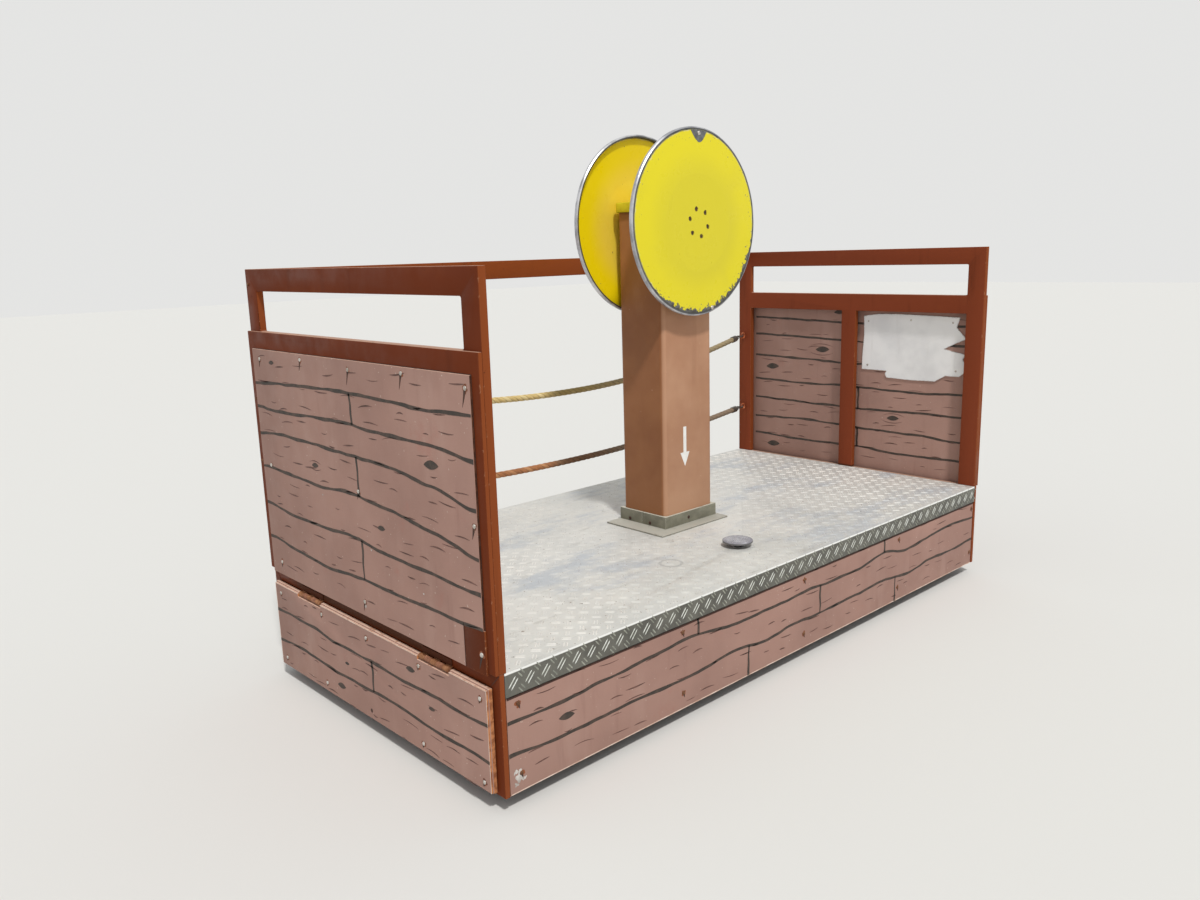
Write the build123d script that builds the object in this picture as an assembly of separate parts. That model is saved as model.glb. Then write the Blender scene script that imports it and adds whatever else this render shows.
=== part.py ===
from build123d import *
import math
import os

# Park railway handcar: a tread-plate platform between two railed end boards, driven by a pair of
# hand-turned discs on a central column, through chains under the deck to one of two rail axles.
# Millimetres. X runs along the track, Y across it (negative is the entry side), Z up from the
# lowest point of the wheel flanges.

# Whole car
CAR_LENGTH = 2500.0
CAR_WIDTH = 1240.0
DECK_TOP = 378.0
END_HEIGHT = 979.0

# Track and running gear
GAUGE = 750.0
WHEELBASE = 1300.0
TREAD_RADIUS = 125.0
FLANGE_DEPTH = 18.0
FLANGE_WIDTH = 20.0
TREAD_WIDTH = 70.0
GAUGE_PLAY = 6.0
TREAD_FALL = 4.0
RIM_THICKNESS = 22.0
WEB_THICKNESS = 16.0
WHEEL_HUB_RADIUS = 42.0
WHEEL_HUB_LENGTH = 112.0
WHEEL_HUB_PROUD = 14.0
WHEEL_DRAFT = 6.0
FLANGE_TIP_IN = 6.0
FLANGE_TIP_OUT = 9.0
FLANGE_ROOT = 4.0
AXLE_RADIUS = 20.0
AXLE_LENGTH = 920.0
SHAFT_FIT = 0.3
PEDESTAL_HALF = 80.0
PEDESTAL_FOOT = 15.0
PEDESTAL_EYE = 42.0
PEDESTAL_EDGE = 3.0

# Skirt below the deck
SKIRT_BOTTOM = 45.0
SKIRT_MEMBER = 41.0
SKIRT_DEPTH = 15.0
LIP_HEIGHT = 67.0
DECK_THICKNESS = 3.0
BOARD_THICKNESS = 12.0
SIDE_BOARD_GAP = 3.0
SIDE_BOARD_COVER = 30.0
SIDE_RAIL = 40.0
STIFFENER = 30.0

# Underframe
CROSS_MEMBER = 40.0
TUBE_WALL = 3.0
CROSS_OUTSIDE_AXLE = 150.0
CROSS_INSIDE_AXLE = 220.0
CROSS_BESIDE_COLUMN = 160.0
BEAM_HEIGHT = 100.0
BEAM_FLANGE = 50.0
BEAM_WALL = 6.0
BEAM_OUTER_Y = 305.0
BEAM_END_GAP = 70.0

# End frames, built from flat tube, with an outer frame that carries the painted board
POST_WIDTH = 72.0
FRAME_DEPTH = 22.0
TOP_RAIL_HEIGHT = 68.0
WINDOW_HEIGHT = 124.0
MIDDLE_RAIL_HEIGHT = 74.0
OUTER_FRAME_DEPTH = 11.0
OUTER_FRAME_WIDTH = 66.0
END_BOARD_THICKNESS = 5.0
END_BOARD_INSET = 33.0
END_BOARD_TOP_DROP = 54.0
END_BOARD_FOOT_DROP = 5.0
PATCH_WIDTH = 86.0
PATCH_HEIGHT = 116.0
PATCH_INSET = 29.0
BOARD_CUT_GAP = 1.0
WINDOW_CORNER = 6.0

# Hinged flaps in the ends of the skirt
FLAP_INSET = 30.0
FLAP_GAP = 2.0
FLAP_BOARD = 11.0
FLAP_SHEET = 5.0
FLAP_SHEET_INSET = 4.0
FLAP_DROP = 14.0
FLAP_TOP_GAP = 0.5
HINGE_RADIUS = 8.0
HINGE_SINK = 1.0
HINGE_PIN_RADIUS = 3.5
HINGE_WIDTH = 138.0
HINGE_Y = (-350.0, 350.0)
HINGE_LEAF = 2.0
HINGE_LEAF_HEIGHT = 26.0
HINGE_NOTCH_SIDE = 6.0
HINGE_NOTCH_DEPTH = 3.0
HINGE_KNUCKLE_GAP = 1.0
HINGE_KNUCKLES = 5

# Drive column
DRIVE_Y = 10.0
COLUMN_X = 50.0
COLUMN_Y = 23.0
COLUMN_LENGTH = 263.0
COLUMN_WIDTH = 216.0
COLUMN_CORNER = 20.0
COLUMN_WALL = 5.0
COLUMN_HEIGHT = 1130.0
CAP_HEIGHT = 34.0
CAP_OVERHANG = 8.0
CAP_WALL = 3.0
BASE_LENGTH = 362.0
BASE_WIDTH = 286.0
BASE_THICKNESS = 6.0
BASE_OFFSET_X = -28.0
BASE_OFFSET_Y = -22.0
COLLAR_HEIGHT = 45.0
COLLAR_WALL = 9.0
COLLAR_SPLIT = 2.0

# Hand discs
DISC_RADIUS = 320.0
DISC_SPACING = 284.0
DISC_AXIS_Z = 1469.0
DISC_SHEET = 3.0
DISC_DISH = 9.0
DISC_FLAT_RADIUS = 165.0
DISC_RIM_DEPTH = 16.0
DISC_RIM_WIDTH = 9.0
HUB_FLANGE_RADIUS = 66.0
HUB_FLANGE_THICKNESS = 8.0
HUB_BOSS_RADIUS = 34.0
HUB_BOSS_LENGTH = 14.0
HUB_HOLE_CIRCLE = 48.0
HUB_HOLE_RADIUS = 6.5
HUB_HOLES = 6
HUB_HOLE_START = 45.0
HAND_SHAFT_RADIUS = 17.5
SHAFT_HOLE_CLEARANCE = 7.5
BEARING_LENGTH = 100.0
BEARING_HEIGHT = 72.0
BEARING_PLATE = 8.0
BEARING_BOSS = 14.0
BEARING_BOSS_RADIUS = 32.0
BEARING_CORNER = 20.0

# Chain drive
CHAIN_PITCH = 25.4
CHAIN_PLATE = 3.0
CHAIN_INSIDE = 14.0
CHAIN_HEIGHT = 19.0
CHAIN_WAIST = 0.62
ROLLER_RADIUS = 7.0
ROLLER_SIDES = 8
SPROCKET_SIDE_PLAY = 0.35
SPROCKET_HUB_RADIUS = 28.0
SPROCKET_HUB_WIDTH = 30.0
TOOTH_RISE = 5.0
TOOTH_FALL = 8.0
COLUMN_CHAIN_TEETH = 13
COUNTER_TEETH = 13
AXLE_TEETH = 19
COLUMN_CHAIN_LINKS = 106
COUNTER_RADIUS = 15.0
AXLE_CHAIN_Y = -60.0
DECK_SLOT_LENGTH = 150.0
DECK_SLOT_WIDTH = 40.0
COUNTER_SHAFT_END = 2.0
ROLLER_EVERY = 9

# Foot pedal and wheel brake
PEDAL_X = -55.0
PEDAL_Y = -397.0
PEDAL_RADIUS = 52.0
PEDAL_LIFT = 15.0
PEDAL_THICKNESS = 10.0
PEDAL_FOOT_CHAMFER = 1.5
PEDAL_EDGE_DROP = 3.0
PEDAL_CROWN = 1.0
PEDAL_SHOULDER = 6.0
PEDAL_STEM_RADIUS = 10.0
PEDAL_HOLE_CLEARANCE = 3.0
BRAKE_LEVER_THICKNESS = 12.0
BRAKE_PIVOT = (45.0, 262.0)
BRAKE_ROD_END = (62.0, 172.0)
BRAKE_ROD_RADIUS = 8.0
BRAKE_ARM = 14.0
BRAKE_BEAM_RADIUS = 14.0
BRAKE_BEAM_BACK = 16.0
SHOE_THICKNESS = 26.0
SHOE_ANGLE = 64.0
SHOE_WIDTH = 60.0
SHOE_GAP = 5.0
SHOE_LUG = 24.0
SHOE_LUG_SINK = 3.0
HANGER_THICKNESS = 8.0
HANGER_WIDTH = 30.0
SPRING_RADIUS = 15.0
SPRING_WIRE = 2.5
SPRING_TURNS = 6
WIRE_SIDES = 8
SPRING_LENGTH = 110.0
BRACKET_FROM_LEVER = 60.0
BRACKET_THICKNESS = 8.0
BRACKET_EDGE = 22.0
BRACKET_HOLE_PLAY = 2.0

# Far side: top rail and two barrier ropes
FAR_RAIL_DEPTH = 22.0
ROPE_BEND = 0.45
ROPE_RADIUS = 12.5
ROPE_EYE_RADIUS = 13.0
EYE_WIRE = 4.0
LINK_WIRE = 3.5
LINK_HALF_WIDTH = 8.5
LINK_PLAY = 0.7
FERRULE_WALL = 2.0
FERRULE_LENGTH = 24.0
FERRULE_CAP = 4.0
TONGUE_THICKNESS = 5.0
TONGUE_WIDTH = 18.0
TONGUE_LENGTH = 20.0
# Rope routes as points along the far side: x, z
UPPER_ROPE = (
    (-1150.0, 944.0),
    (-870.0, 886.0),
    (-575.0, 846.0),
    (-285.0, 821.0),
    (10.0, 812.0),
    (300.0, 818.0),
    (590.0, 843.0),
    (880.0, 887.0),
    (1150.0, 945.0),
)
LOWER_ROPE = (
    (-1150.0, 597.0),
    (-865.0, 563.0),
    (-570.0, 538.0),
    (-280.0, 525.0),
    (15.0, 520.5),
    (305.0, 525.0),
    (595.0, 539.0),
    (885.0, 563.5),
    (1150.0, 596.0),
)

# How far a cutting solid runs past what it cuts
CUT = 1.0

# Worked out from the sizes above
HALF_LENGTH = CAR_LENGTH / 2
HALF_WIDTH = CAR_WIDTH / 2
DECK_UNDERSIDE = DECK_TOP - DECK_THICKNESS
FLANGE_RADIUS = TREAD_RADIUS + FLANGE_DEPTH
AXLE_Z = FLANGE_RADIUS
FRAME_TOP = DECK_TOP + END_HEIGHT
WINDOW_TOP = FRAME_TOP - TOP_RAIL_HEIGHT
WINDOW_BOTTOM = WINDOW_TOP - WINDOW_HEIGHT
MIDDLE_RAIL_BOTTOM = WINDOW_BOTTOM - MIDDLE_RAIL_HEIGHT
CROSS_BOTTOM = DECK_UNDERSIDE - CROSS_MEMBER
BEAM_BOTTOM = CROSS_BOTTOM - BEAM_HEIGHT
COLUMN_FOOT = DECK_TOP + BASE_THICKNESS
COLUMN_TOP = COLUMN_FOOT + COLUMN_HEIGHT
DRIVE_AXLE_X = -WHEELBASE / 2
BRAKED_AXLE_X = WHEELBASE / 2
ROPE_Y = HALF_WIDTH - POST_WIDTH / 2
SKIRT_OPENING_TOP = DECK_TOP - SKIRT_MEMBER
FLAP_TOP = SKIRT_OPENING_TOP - FLAP_TOP_GAP
HINGE_OUT = FLAP_GAP + HINGE_RADIUS - HINGE_SINK
HINGE_Z = FLAP_TOP - HINGE_RADIUS / 2
FLAP_OUT = FLAP_GAP + FLAP_BOARD + FLAP_SHEET
SPROCKET_WIDTH = CHAIN_INSIDE - 2 * SPROCKET_SIDE_PLAY
WHEEL_MIDDLE = GAUGE / 2 + TREAD_WIDTH / 2
CROSS_END_X = HALF_LENGTH - SKIRT_DEPTH - CROSS_MEMBER / 2
CROSS_MEMBER_X = (
    -CROSS_END_X,
    DRIVE_AXLE_X - CROSS_OUTSIDE_AXLE,
    DRIVE_AXLE_X + CROSS_INSIDE_AXLE,
    COLUMN_X - CROSS_BESIDE_COLUMN,
    COLUMN_X + CROSS_BESIDE_COLUMN,
    BRAKED_AXLE_X - CROSS_INSIDE_AXLE,
    BRAKED_AXLE_X + CROSS_OUTSIDE_AXLE,
    CROSS_END_X,
)
COUNTER_Z = DISC_AXIS_Z - (COLUMN_CHAIN_LINKS - COLUMN_CHAIN_TEETH) / 2 * CHAIN_PITCH
BRAKE_BEAM_X = BRAKED_AXLE_X - TREAD_RADIUS - SHOE_GAP - SHOE_THICKNESS - BRAKE_BEAM_BACK
ENDS = (("left", -1), ("right", 1))

nodes = {}


def block(x, y, z):
    """A box given by its low and high value on each axis."""
    (x0, x1), (y0, y1), (z0, z1) = sorted(x), sorted(y), sorted(z)
    centre = Pos((x0 + x1) / 2, (y0 + y1) / 2, (z0 + z1) / 2)
    return centre * Box(x1 - x0, y1 - y0, z1 - z0)


def rod(start, end, radius):
    """A round bar between two points."""
    axis = Vector(*end) - Vector(*start)
    plane = Plane(origin=start, z_dir=axis)
    return extrude(plane * Circle(radius), axis.length)


def join(solids):
    """One shape from pieces that are welded together."""
    whole = solids[0]
    for piece in solids[1:]:
        whole = whole + piece
    return whole


def apart(solids):
    """Like pieces that share a node and don't touch."""
    return Compound(children=[s for shape in solids for s in shape.solids()])


def tube_x(x, y, z):
    """A square tube along X, open at its ends."""
    w = TUBE_WALL
    return block(x, y, z) - block((x[0] - CUT, x[1] + CUT), (y[0] + w, y[1] - w), (z[0] + w, z[1] - w))


def tube_y(x, y, z):
    """A square tube along Y, open at its ends."""
    w = TUBE_WALL
    return block(x, y, z) - block((x[0] + w, x[1] - w), (y[0] - CUT, y[1] + CUT), (z[0] + w, z[1] - w))


def end_x(side, depth):
    """X of a plane that lies depth inside the end face of the car; negative stands proud."""
    return side * (HALF_LENGTH - depth)


def end_block(side, depth, y, z):
    return block((end_x(side, depth[0]), end_x(side, depth[1])), y, z)


def side_plane(y):
    """Upright sketch plane along the track: sketch X is X, sketch Y is Z, and it extrudes towards -Y."""
    return Plane(origin=(0, y, 0), x_dir=(1, 0, 0), z_dir=(0, -1, 0))


def lane(face, y_low, y_high):
    """A face in X and Z, made into a plate from y_low to y_high."""
    return extrude(side_plane(y_high) * face, y_high - y_low)


def turned(profile, x, z):
    """A ring turned about an axis along Y, from a closed outline of (y, radius) points."""
    points = [(r, y) for y, r in profile]
    outline = Polygon(*points, align=None)
    plane = Plane(origin=(x, 0, z), x_dir=(1, 0, 0), z_dir=(0, 0, 1))
    return revolve(plane * outline, Axis((x, 0, z), (0, 1, 0)))


def make_deck():
    deck_half = HALF_LENGTH - SKIRT_DEPTH
    plate = block((-deck_half, deck_half), (-HALF_WIDTH, HALF_WIDTH), (DECK_UNDERSIDE, DECK_TOP))
    lips = []
    for side in (-1, 1):
        y = (side * HALF_WIDTH, side * (HALF_WIDTH - DECK_THICKNESS))
        lips.append(block((-deck_half, deck_half), y, (DECK_TOP - LIP_HEIGHT, DECK_TOP)))
    slot = block(
        (COLUMN_X - DECK_SLOT_LENGTH / 2, COLUMN_X + DECK_SLOT_LENGTH / 2),
        (DRIVE_Y - DECK_SLOT_WIDTH / 2, DRIVE_Y + DECK_SLOT_WIDTH / 2),
        (DECK_UNDERSIDE - CUT, DECK_TOP + CUT),
    )
    hole_radius = PEDAL_STEM_RADIUS + PEDAL_HOLE_CLEARANCE
    hole = rod((PEDAL_X, PEDAL_Y, DECK_UNDERSIDE - CUT), (PEDAL_X, PEDAL_Y, DECK_TOP + CUT), hole_radius)
    nodes["deck_plate"] = join([plate] + lips) - slot - hole


def make_skirt():
    board_out = HALF_WIDTH - DECK_THICKNESS
    board_in = board_out - BOARD_THICKNESS
    for end, side in ENDS:
        depth = (0, SKIRT_DEPTH)
        frame = end_block(side, depth, (-HALF_WIDTH, HALF_WIDTH), (SKIRT_BOTTOM, DECK_TOP))
        opening = end_block(
            side,
            (-CUT, SKIRT_DEPTH + CUT),
            (-HALF_WIDTH + SKIRT_MEMBER, HALF_WIDTH - SKIRT_MEMBER),
            (SKIRT_BOTTOM + SKIRT_MEMBER, SKIRT_OPENING_TOP),
        )
        nodes[f"skirt_frame_{end}"] = frame - opening
    board_half = HALF_LENGTH - SKIRT_DEPTH - SIDE_BOARD_GAP
    board_top = DECK_TOP - LIP_HEIGHT + SIDE_BOARD_COVER
    for name, side in (("near", -1), ("far", 1)):
        y = (side * board_in, side * board_out)
        nodes[f"side_board_{name}"] = block((-board_half, board_half), y, (SKIRT_BOTTOM, board_top))
    rail_half = HALF_LENGTH - SKIRT_DEPTH
    rails = []
    for side in (-1, 1):
        top_z = (DECK_UNDERSIDE - SIDE_RAIL, DECK_UNDERSIDE)
        top_y = sorted((side * (board_in - SIDE_RAIL), side * board_in))
        rails.append(tube_x((-rail_half, rail_half), top_y, top_z))
        low_y = (side * (board_in - STIFFENER), side * board_in)
        angle = block((-rail_half, rail_half), low_y, (SKIRT_BOTTOM, SKIRT_BOTTOM + STIFFENER))
        space_y = (side * (board_in - STIFFENER - CUT), side * (board_in - TUBE_WALL))
        space_z = (SKIRT_BOTTOM + TUBE_WALL, SKIRT_BOTTOM + STIFFENER + CUT)
        rails.append(angle - block((-rail_half - CUT, rail_half + CUT), space_y, space_z))
    nodes["side_rails"] = apart(rails)


def make_underframe():
    member_end = HALF_WIDTH - DECK_THICKNESS - BOARD_THICKNESS - SIDE_RAIL
    members = []
    half = CROSS_MEMBER / 2
    for x in CROSS_MEMBER_X:
        y = (-member_end, member_end)
        members.append(tube_y((x - half, x + half), y, (CROSS_BOTTOM, DECK_UNDERSIDE)))
    nodes["cross_members"] = apart(members)
    beam_half = HALF_LENGTH - BEAM_END_GAP
    beams = []
    for side in (-1, 1):
        x = (-beam_half, beam_half)
        outer_y = (side * BEAM_OUTER_Y, side * (BEAM_OUTER_Y - BEAM_FLANGE))
        hollow_y = (side * (BEAM_OUTER_Y - BEAM_WALL), side * (BEAM_OUTER_Y - BEAM_FLANGE - CUT))
        hollow = block(x, hollow_y, (BEAM_BOTTOM + BEAM_WALL, CROSS_BOTTOM - BEAM_WALL))
        beams.append(block(x, outer_y, (BEAM_BOTTOM, CROSS_BOTTOM)) - hollow)
    nodes["main_beams"] = apart(beams)


def make_end(end, side):
    """Inner frame, outer frame and painted board of one end."""
    inner = (0, FRAME_DEPTH)
    inner_half = HALF_WIDTH - POST_WIDTH
    frame = end_block(side, inner, (-HALF_WIDTH, HALF_WIDTH), (DECK_TOP, FRAME_TOP))
    through = (-CUT, FRAME_DEPTH + CUT)
    window = end_block(side, through, (-inner_half, inner_half), (WINDOW_BOTTOM, WINDOW_TOP))
    frame = frame - fillet(window.edges().filter_by(Axis.X), WINDOW_CORNER)
    for y in ((-inner_half, -POST_WIDTH / 2), (POST_WIDTH / 2, inner_half)):
        frame = frame - end_block(side, through, y, (DECK_TOP - CUT, MIDDLE_RAIL_BOTTOM))
    nodes[f"end_frame_{end}"] = frame

    outer = (-OUTER_FRAME_DEPTH, 0)
    hoop = end_block(side, outer, (-HALF_WIDTH, HALF_WIDTH), (DECK_TOP, WINDOW_BOTTOM))
    hoop_half = HALF_WIDTH - OUTER_FRAME_WIDTH
    gap = (-OUTER_FRAME_DEPTH - CUT, CUT)
    hoop_top = WINDOW_BOTTOM - OUTER_FRAME_WIDTH
    hoop = hoop - end_block(side, gap, (-hoop_half, hoop_half), (DECK_TOP - CUT, hoop_top))
    nodes[f"outer_frame_{end}"] = hoop

    board_half = HALF_WIDTH - END_BOARD_INSET
    board_depth = (-OUTER_FRAME_DEPTH - END_BOARD_THICKNESS, -OUTER_FRAME_DEPTH)
    board_z = (DECK_TOP - END_BOARD_FOOT_DROP, WINDOW_BOTTOM - END_BOARD_TOP_DROP)
    board = end_block(side, board_depth, (-board_half, board_half), board_z)
    if end == "left":
        patch_y = (-HALF_WIDTH + PATCH_INSET, -HALF_WIDTH + PATCH_INSET + PATCH_WIDTH)
        patch_z = (board_z[0], board_z[0] + PATCH_HEIGHT)
        cut_y = (-HALF_WIDTH, patch_y[1] + BOARD_CUT_GAP)
        cut_z = (patch_z[0] - CUT, patch_z[1] + BOARD_CUT_GAP)
        cut_depth = (-OUTER_FRAME_DEPTH - END_BOARD_THICKNESS - CUT, -OUTER_FRAME_DEPTH + CUT)
        board = board - end_block(side, cut_depth, cut_y, cut_z)
        nodes["repair_patch"] = end_block(side, board_depth, patch_y, patch_z)
    nodes[f"end_board_{end}"] = board


def hinge_spans():
    """Low and high Y of each knuckle in a hinge, about its middle."""
    pitch = HINGE_WIDTH / HINGE_KNUCKLES
    start = -HINGE_WIDTH / 2
    return [
        (start + i * pitch + HINGE_KNUCKLE_GAP / 2, start + (i + 1) * pitch - HINGE_KNUCKLE_GAP / 2)
        for i in range(HINGE_KNUCKLES)
    ]


def flap_board(side):
    """Board and outer sheet of a flap, notched round its hinges."""
    half = HALF_WIDTH - FLAP_INSET
    bottom = SKIRT_BOTTOM - FLAP_DROP
    board = end_block(side, (-FLAP_GAP - FLAP_BOARD, -FLAP_GAP), (-half, half), (bottom, FLAP_TOP))
    sheet_half = half - FLAP_SHEET_INSET
    sheet_z = (bottom, FLAP_TOP - FLAP_SHEET_INSET)
    board = board + end_block(side, (-FLAP_OUT, -FLAP_GAP - FLAP_BOARD), (-sheet_half, sheet_half), sheet_z)
    notch_half = HINGE_WIDTH / 2 + HINGE_NOTCH_SIDE
    notch_z = (HINGE_Z - HINGE_RADIUS - HINGE_NOTCH_DEPTH, FLAP_TOP + CUT)
    for hinge_y in HINGE_Y:
        notch_y = (hinge_y - notch_half, hinge_y + notch_half)
        board = board - end_block(side, (-FLAP_OUT - CUT, 0), notch_y, notch_z)
    return board


def knuckle(side, y0, y1, radius):
    """A round piece of a hinge on its axis."""
    x = end_x(side, -HINGE_OUT)
    return rod((x, y0, HINGE_Z), (x, y1, HINGE_Z), radius)


def fixed_leaf(side, hinge_y, spans):
    """The leaf that stays on the skirt: one plate above the hinge, webs down to its bored knuckles."""
    leaf_y = (hinge_y + spans[0][0], hinge_y + spans[-1][1])
    leaf_z = (HINGE_Z + HINGE_RADIUS + HINGE_KNUCKLE_GAP, HINGE_Z + HINGE_LEAF_HEIGHT)
    foot = HINGE_Z + HINGE_RADIUS / 2
    pieces = [end_block(side, (-HINGE_LEAF, 0), leaf_y, leaf_z)]
    for low, high in spans:
        y = (hinge_y + low, hinge_y + high)
        pieces.append(end_block(side, (-HINGE_LEAF, 0), y, (foot, leaf_z[1])))
        pieces.append(end_block(side, (-HINGE_OUT, 0), y, (foot, foot + HINGE_LEAF)))
        pieces.append(knuckle(side, y[0], y[1], HINGE_RADIUS))
    bore = knuckle(side, leaf_y[0] - CUT, leaf_y[1] + CUT, HINGE_PIN_RADIUS + SHAFT_FIT)
    return join(pieces) - bore


def moving_leaf(side, hinge_y, spans):
    """Pin, knuckles and leaf of a hinge that swing with the flap."""
    depth = (-FLAP_GAP - HINGE_LEAF, -FLAP_GAP)
    leaf_y = (hinge_y + spans[0][0], hinge_y + spans[-1][1])
    leaf = end_block(side, depth, leaf_y, (HINGE_Z - HINGE_LEAF_HEIGHT, HINGE_Z - HINGE_RADIUS))
    pieces = [leaf, knuckle(side, hinge_y - HINGE_WIDTH / 2, hinge_y + HINGE_WIDTH / 2, HINGE_PIN_RADIUS)]
    for low, high in spans:
        y = (hinge_y + low, hinge_y + high)
        pieces.append(knuckle(side, y[0], y[1], HINGE_RADIUS))
        pieces.append(end_block(side, depth, y, (HINGE_Z - HINGE_RADIUS, HINGE_Z)))
    return join(pieces), leaf


def make_flaps():
    """The hinged flap of each end, its hinges, and the leaves that stay on the skirt."""
    spans = hinge_spans()
    fixed = []
    for end, side in ENDS:
        board = flap_board(side)
        moving = []
        for hinge_y in HINGE_Y:
            fixed.append(fixed_leaf(side, hinge_y, spans[0::2]))
            hinge, leaf = moving_leaf(side, hinge_y, spans[1::2])
            board = board - leaf
            moving.append(hinge)
        nodes[f"flap_{end}"] = board
        nodes[f"flap_hinges_{end}"] = apart(moving)
    nodes["fixed_hinges"] = apart(fixed)


def column_outline(grow, corner):
    return RectangleRounded(COLUMN_LENGTH + 2 * grow, COLUMN_WIDTH + 2 * grow, corner)


def column_ring(grow_out, grow_in, z0, z1):
    """An upright ring that follows the column's outline; grow is measured from its outer face."""
    outer = column_outline(grow_out, COLUMN_CORNER + grow_out)
    face = outer - column_outline(grow_in, COLUMN_CORNER + grow_in)
    return extrude(Pos(COLUMN_X, COLUMN_Y, z0) * face, z1 - z0)


def make_column():
    tube = column_ring(0, -COLUMN_WALL, COLUMN_FOOT, COLUMN_TOP)
    hole_radius = HAND_SHAFT_RADIUS + SHAFT_HOLE_CLEARANCE
    near, far = (COLUMN_Y - COLUMN_WIDTH, COLUMN_Y + COLUMN_WIDTH)
    hole = rod((COLUMN_X, near, DISC_AXIS_Z), (COLUMN_X, far, DISC_AXIS_Z), hole_radius)
    nodes["column"] = tube - hole

    cap_out = column_outline(CAP_OVERHANG, COLUMN_CORNER)
    cap_in = column_outline(CAP_OVERHANG - CAP_WALL, COLUMN_CORNER - CAP_WALL)
    lid = extrude(Pos(COLUMN_X, COLUMN_Y, COLUMN_TOP) * cap_out, CAP_HEIGHT)
    space = extrude(Pos(COLUMN_X, COLUMN_Y, COLUMN_TOP) * cap_in, CAP_HEIGHT - CAP_WALL)
    seat = column_ring(CAP_OVERHANG - CAP_WALL, -COLUMN_WALL, COLUMN_TOP, COLUMN_TOP + CAP_WALL)
    nodes["column_cap"] = lid - space + seat

    base_x = COLUMN_X + BASE_OFFSET_X
    base_y = COLUMN_Y + BASE_OFFSET_Y
    base = block(
        (base_x - BASE_LENGTH / 2, base_x + BASE_LENGTH / 2),
        (base_y - BASE_WIDTH / 2, base_y + BASE_WIDTH / 2),
        (DECK_TOP, COLUMN_FOOT),
    )
    slot = block(
        (COLUMN_X - DECK_SLOT_LENGTH / 2, COLUMN_X + DECK_SLOT_LENGTH / 2),
        (DRIVE_Y - DECK_SLOT_WIDTH / 2, DRIVE_Y + DECK_SLOT_WIDTH / 2),
        (DECK_TOP - CUT, COLUMN_FOOT + CUT),
    )
    nodes["column_base"] = base - slot

    bar = Rectangle(COLUMN_LENGTH + 2 * COLLAR_WALL, COLUMN_WIDTH + 2 * COLLAR_WALL)
    bar = bar - column_outline(0, COLUMN_CORNER)
    collar = extrude(Pos(COLUMN_X, COLUMN_Y, COLUMN_FOOT) * bar, COLLAR_HEIGHT)
    split = block(
        (COLUMN_X - COLUMN_LENGTH, COLUMN_X + COLUMN_LENGTH),
        (COLUMN_Y - COLLAR_SPLIT / 2, COLUMN_Y + COLLAR_SPLIT / 2),
        (COLUMN_FOOT - CUT, COLUMN_FOOT + COLLAR_HEIGHT + CUT),
    )
    nodes["column_collar"] = apart([collar - split])


def disc_profile(side):
    """Spun sheet: flat middle, shallow cone and flat edge, as (y, radius) points."""
    plane = DRIVE_Y + side * DISC_SPACING / 2
    out = plane + side * DISC_DISH
    edge = DISC_RADIUS - DISC_RIM_WIDTH
    back = -side * DISC_SHEET
    return [
        (out, 0),
        (out, DISC_FLAT_RADIUS),
        (plane, edge),
        (plane + back, edge),
        (out + back, DISC_FLAT_RADIUS),
        (out + back, 0),
    ]


def rim_profile(side):
    """Rolled edge of a disc: a rounded hoop that closes on the sheet's edge."""
    plane = DRIVE_Y + side * DISC_SPACING / 2
    inner = DISC_RADIUS - DISC_RIM_WIDTH
    step = DISC_RIM_WIDTH / 3
    back = plane - side * DISC_RIM_DEPTH
    return [
        (plane, inner),
        (plane, DISC_RADIUS - step),
        (plane - side * step, DISC_RADIUS),
        (back + side * step, DISC_RADIUS),
        (back, DISC_RADIUS - step),
        (back, inner),
    ]


def make_discs():
    discs = []
    rims = []
    hubs = []
    for side in (-1, 1):
        disc = turned(disc_profile(side), COLUMN_X, DISC_AXIS_Z)
        inside = DRIVE_Y + side * (DISC_SPACING / 2 + DISC_DISH - DISC_SHEET)
        flange_end = inside - side * HUB_FLANGE_THICKNESS
        boss_end = inside - side * HUB_BOSS_LENGTH
        bore = HAND_SHAFT_RADIUS + SHAFT_FIT
        hub_points = [
            (inside, bore),
            (inside, HUB_FLANGE_RADIUS),
            (flange_end, HUB_FLANGE_RADIUS),
            (flange_end, HUB_BOSS_RADIUS),
            (boss_end, HUB_BOSS_RADIUS),
            (boss_end, bore),
        ]
        hub = turned(hub_points, COLUMN_X, DISC_AXIS_Z)
        for i in range(HUB_HOLES):
            angle = math.radians(360 / HUB_HOLES * i + HUB_HOLE_START)
            x = COLUMN_X + HUB_HOLE_CIRCLE * math.cos(angle)
            z = DISC_AXIS_Z + HUB_HOLE_CIRCLE * math.sin(angle)
            hole = rod((x, DRIVE_Y + side * DISC_SPACING, z), (x, DRIVE_Y, z), HUB_HOLE_RADIUS)
            disc = disc - hole
            hub = hub - hole
        discs.append(disc)
        rims.append(turned(rim_profile(side), COLUMN_X, DISC_AXIS_Z))
        hubs.append(hub)
    nodes["disc_near"] = discs[0]
    nodes["disc_far"] = discs[1]
    nodes["disc_rims"] = apart(rims)
    nodes["disc_hubs"] = apart(hubs)
    shaft_half = DISC_SPACING / 2 + DISC_DISH - DISC_SHEET
    start = (COLUMN_X, DRIVE_Y - shaft_half, DISC_AXIS_Z)
    end = (COLUMN_X, DRIVE_Y + shaft_half, DISC_AXIS_Z)
    nodes["hand_shaft"] = rod(start, end, HAND_SHAFT_RADIUS)


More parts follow.
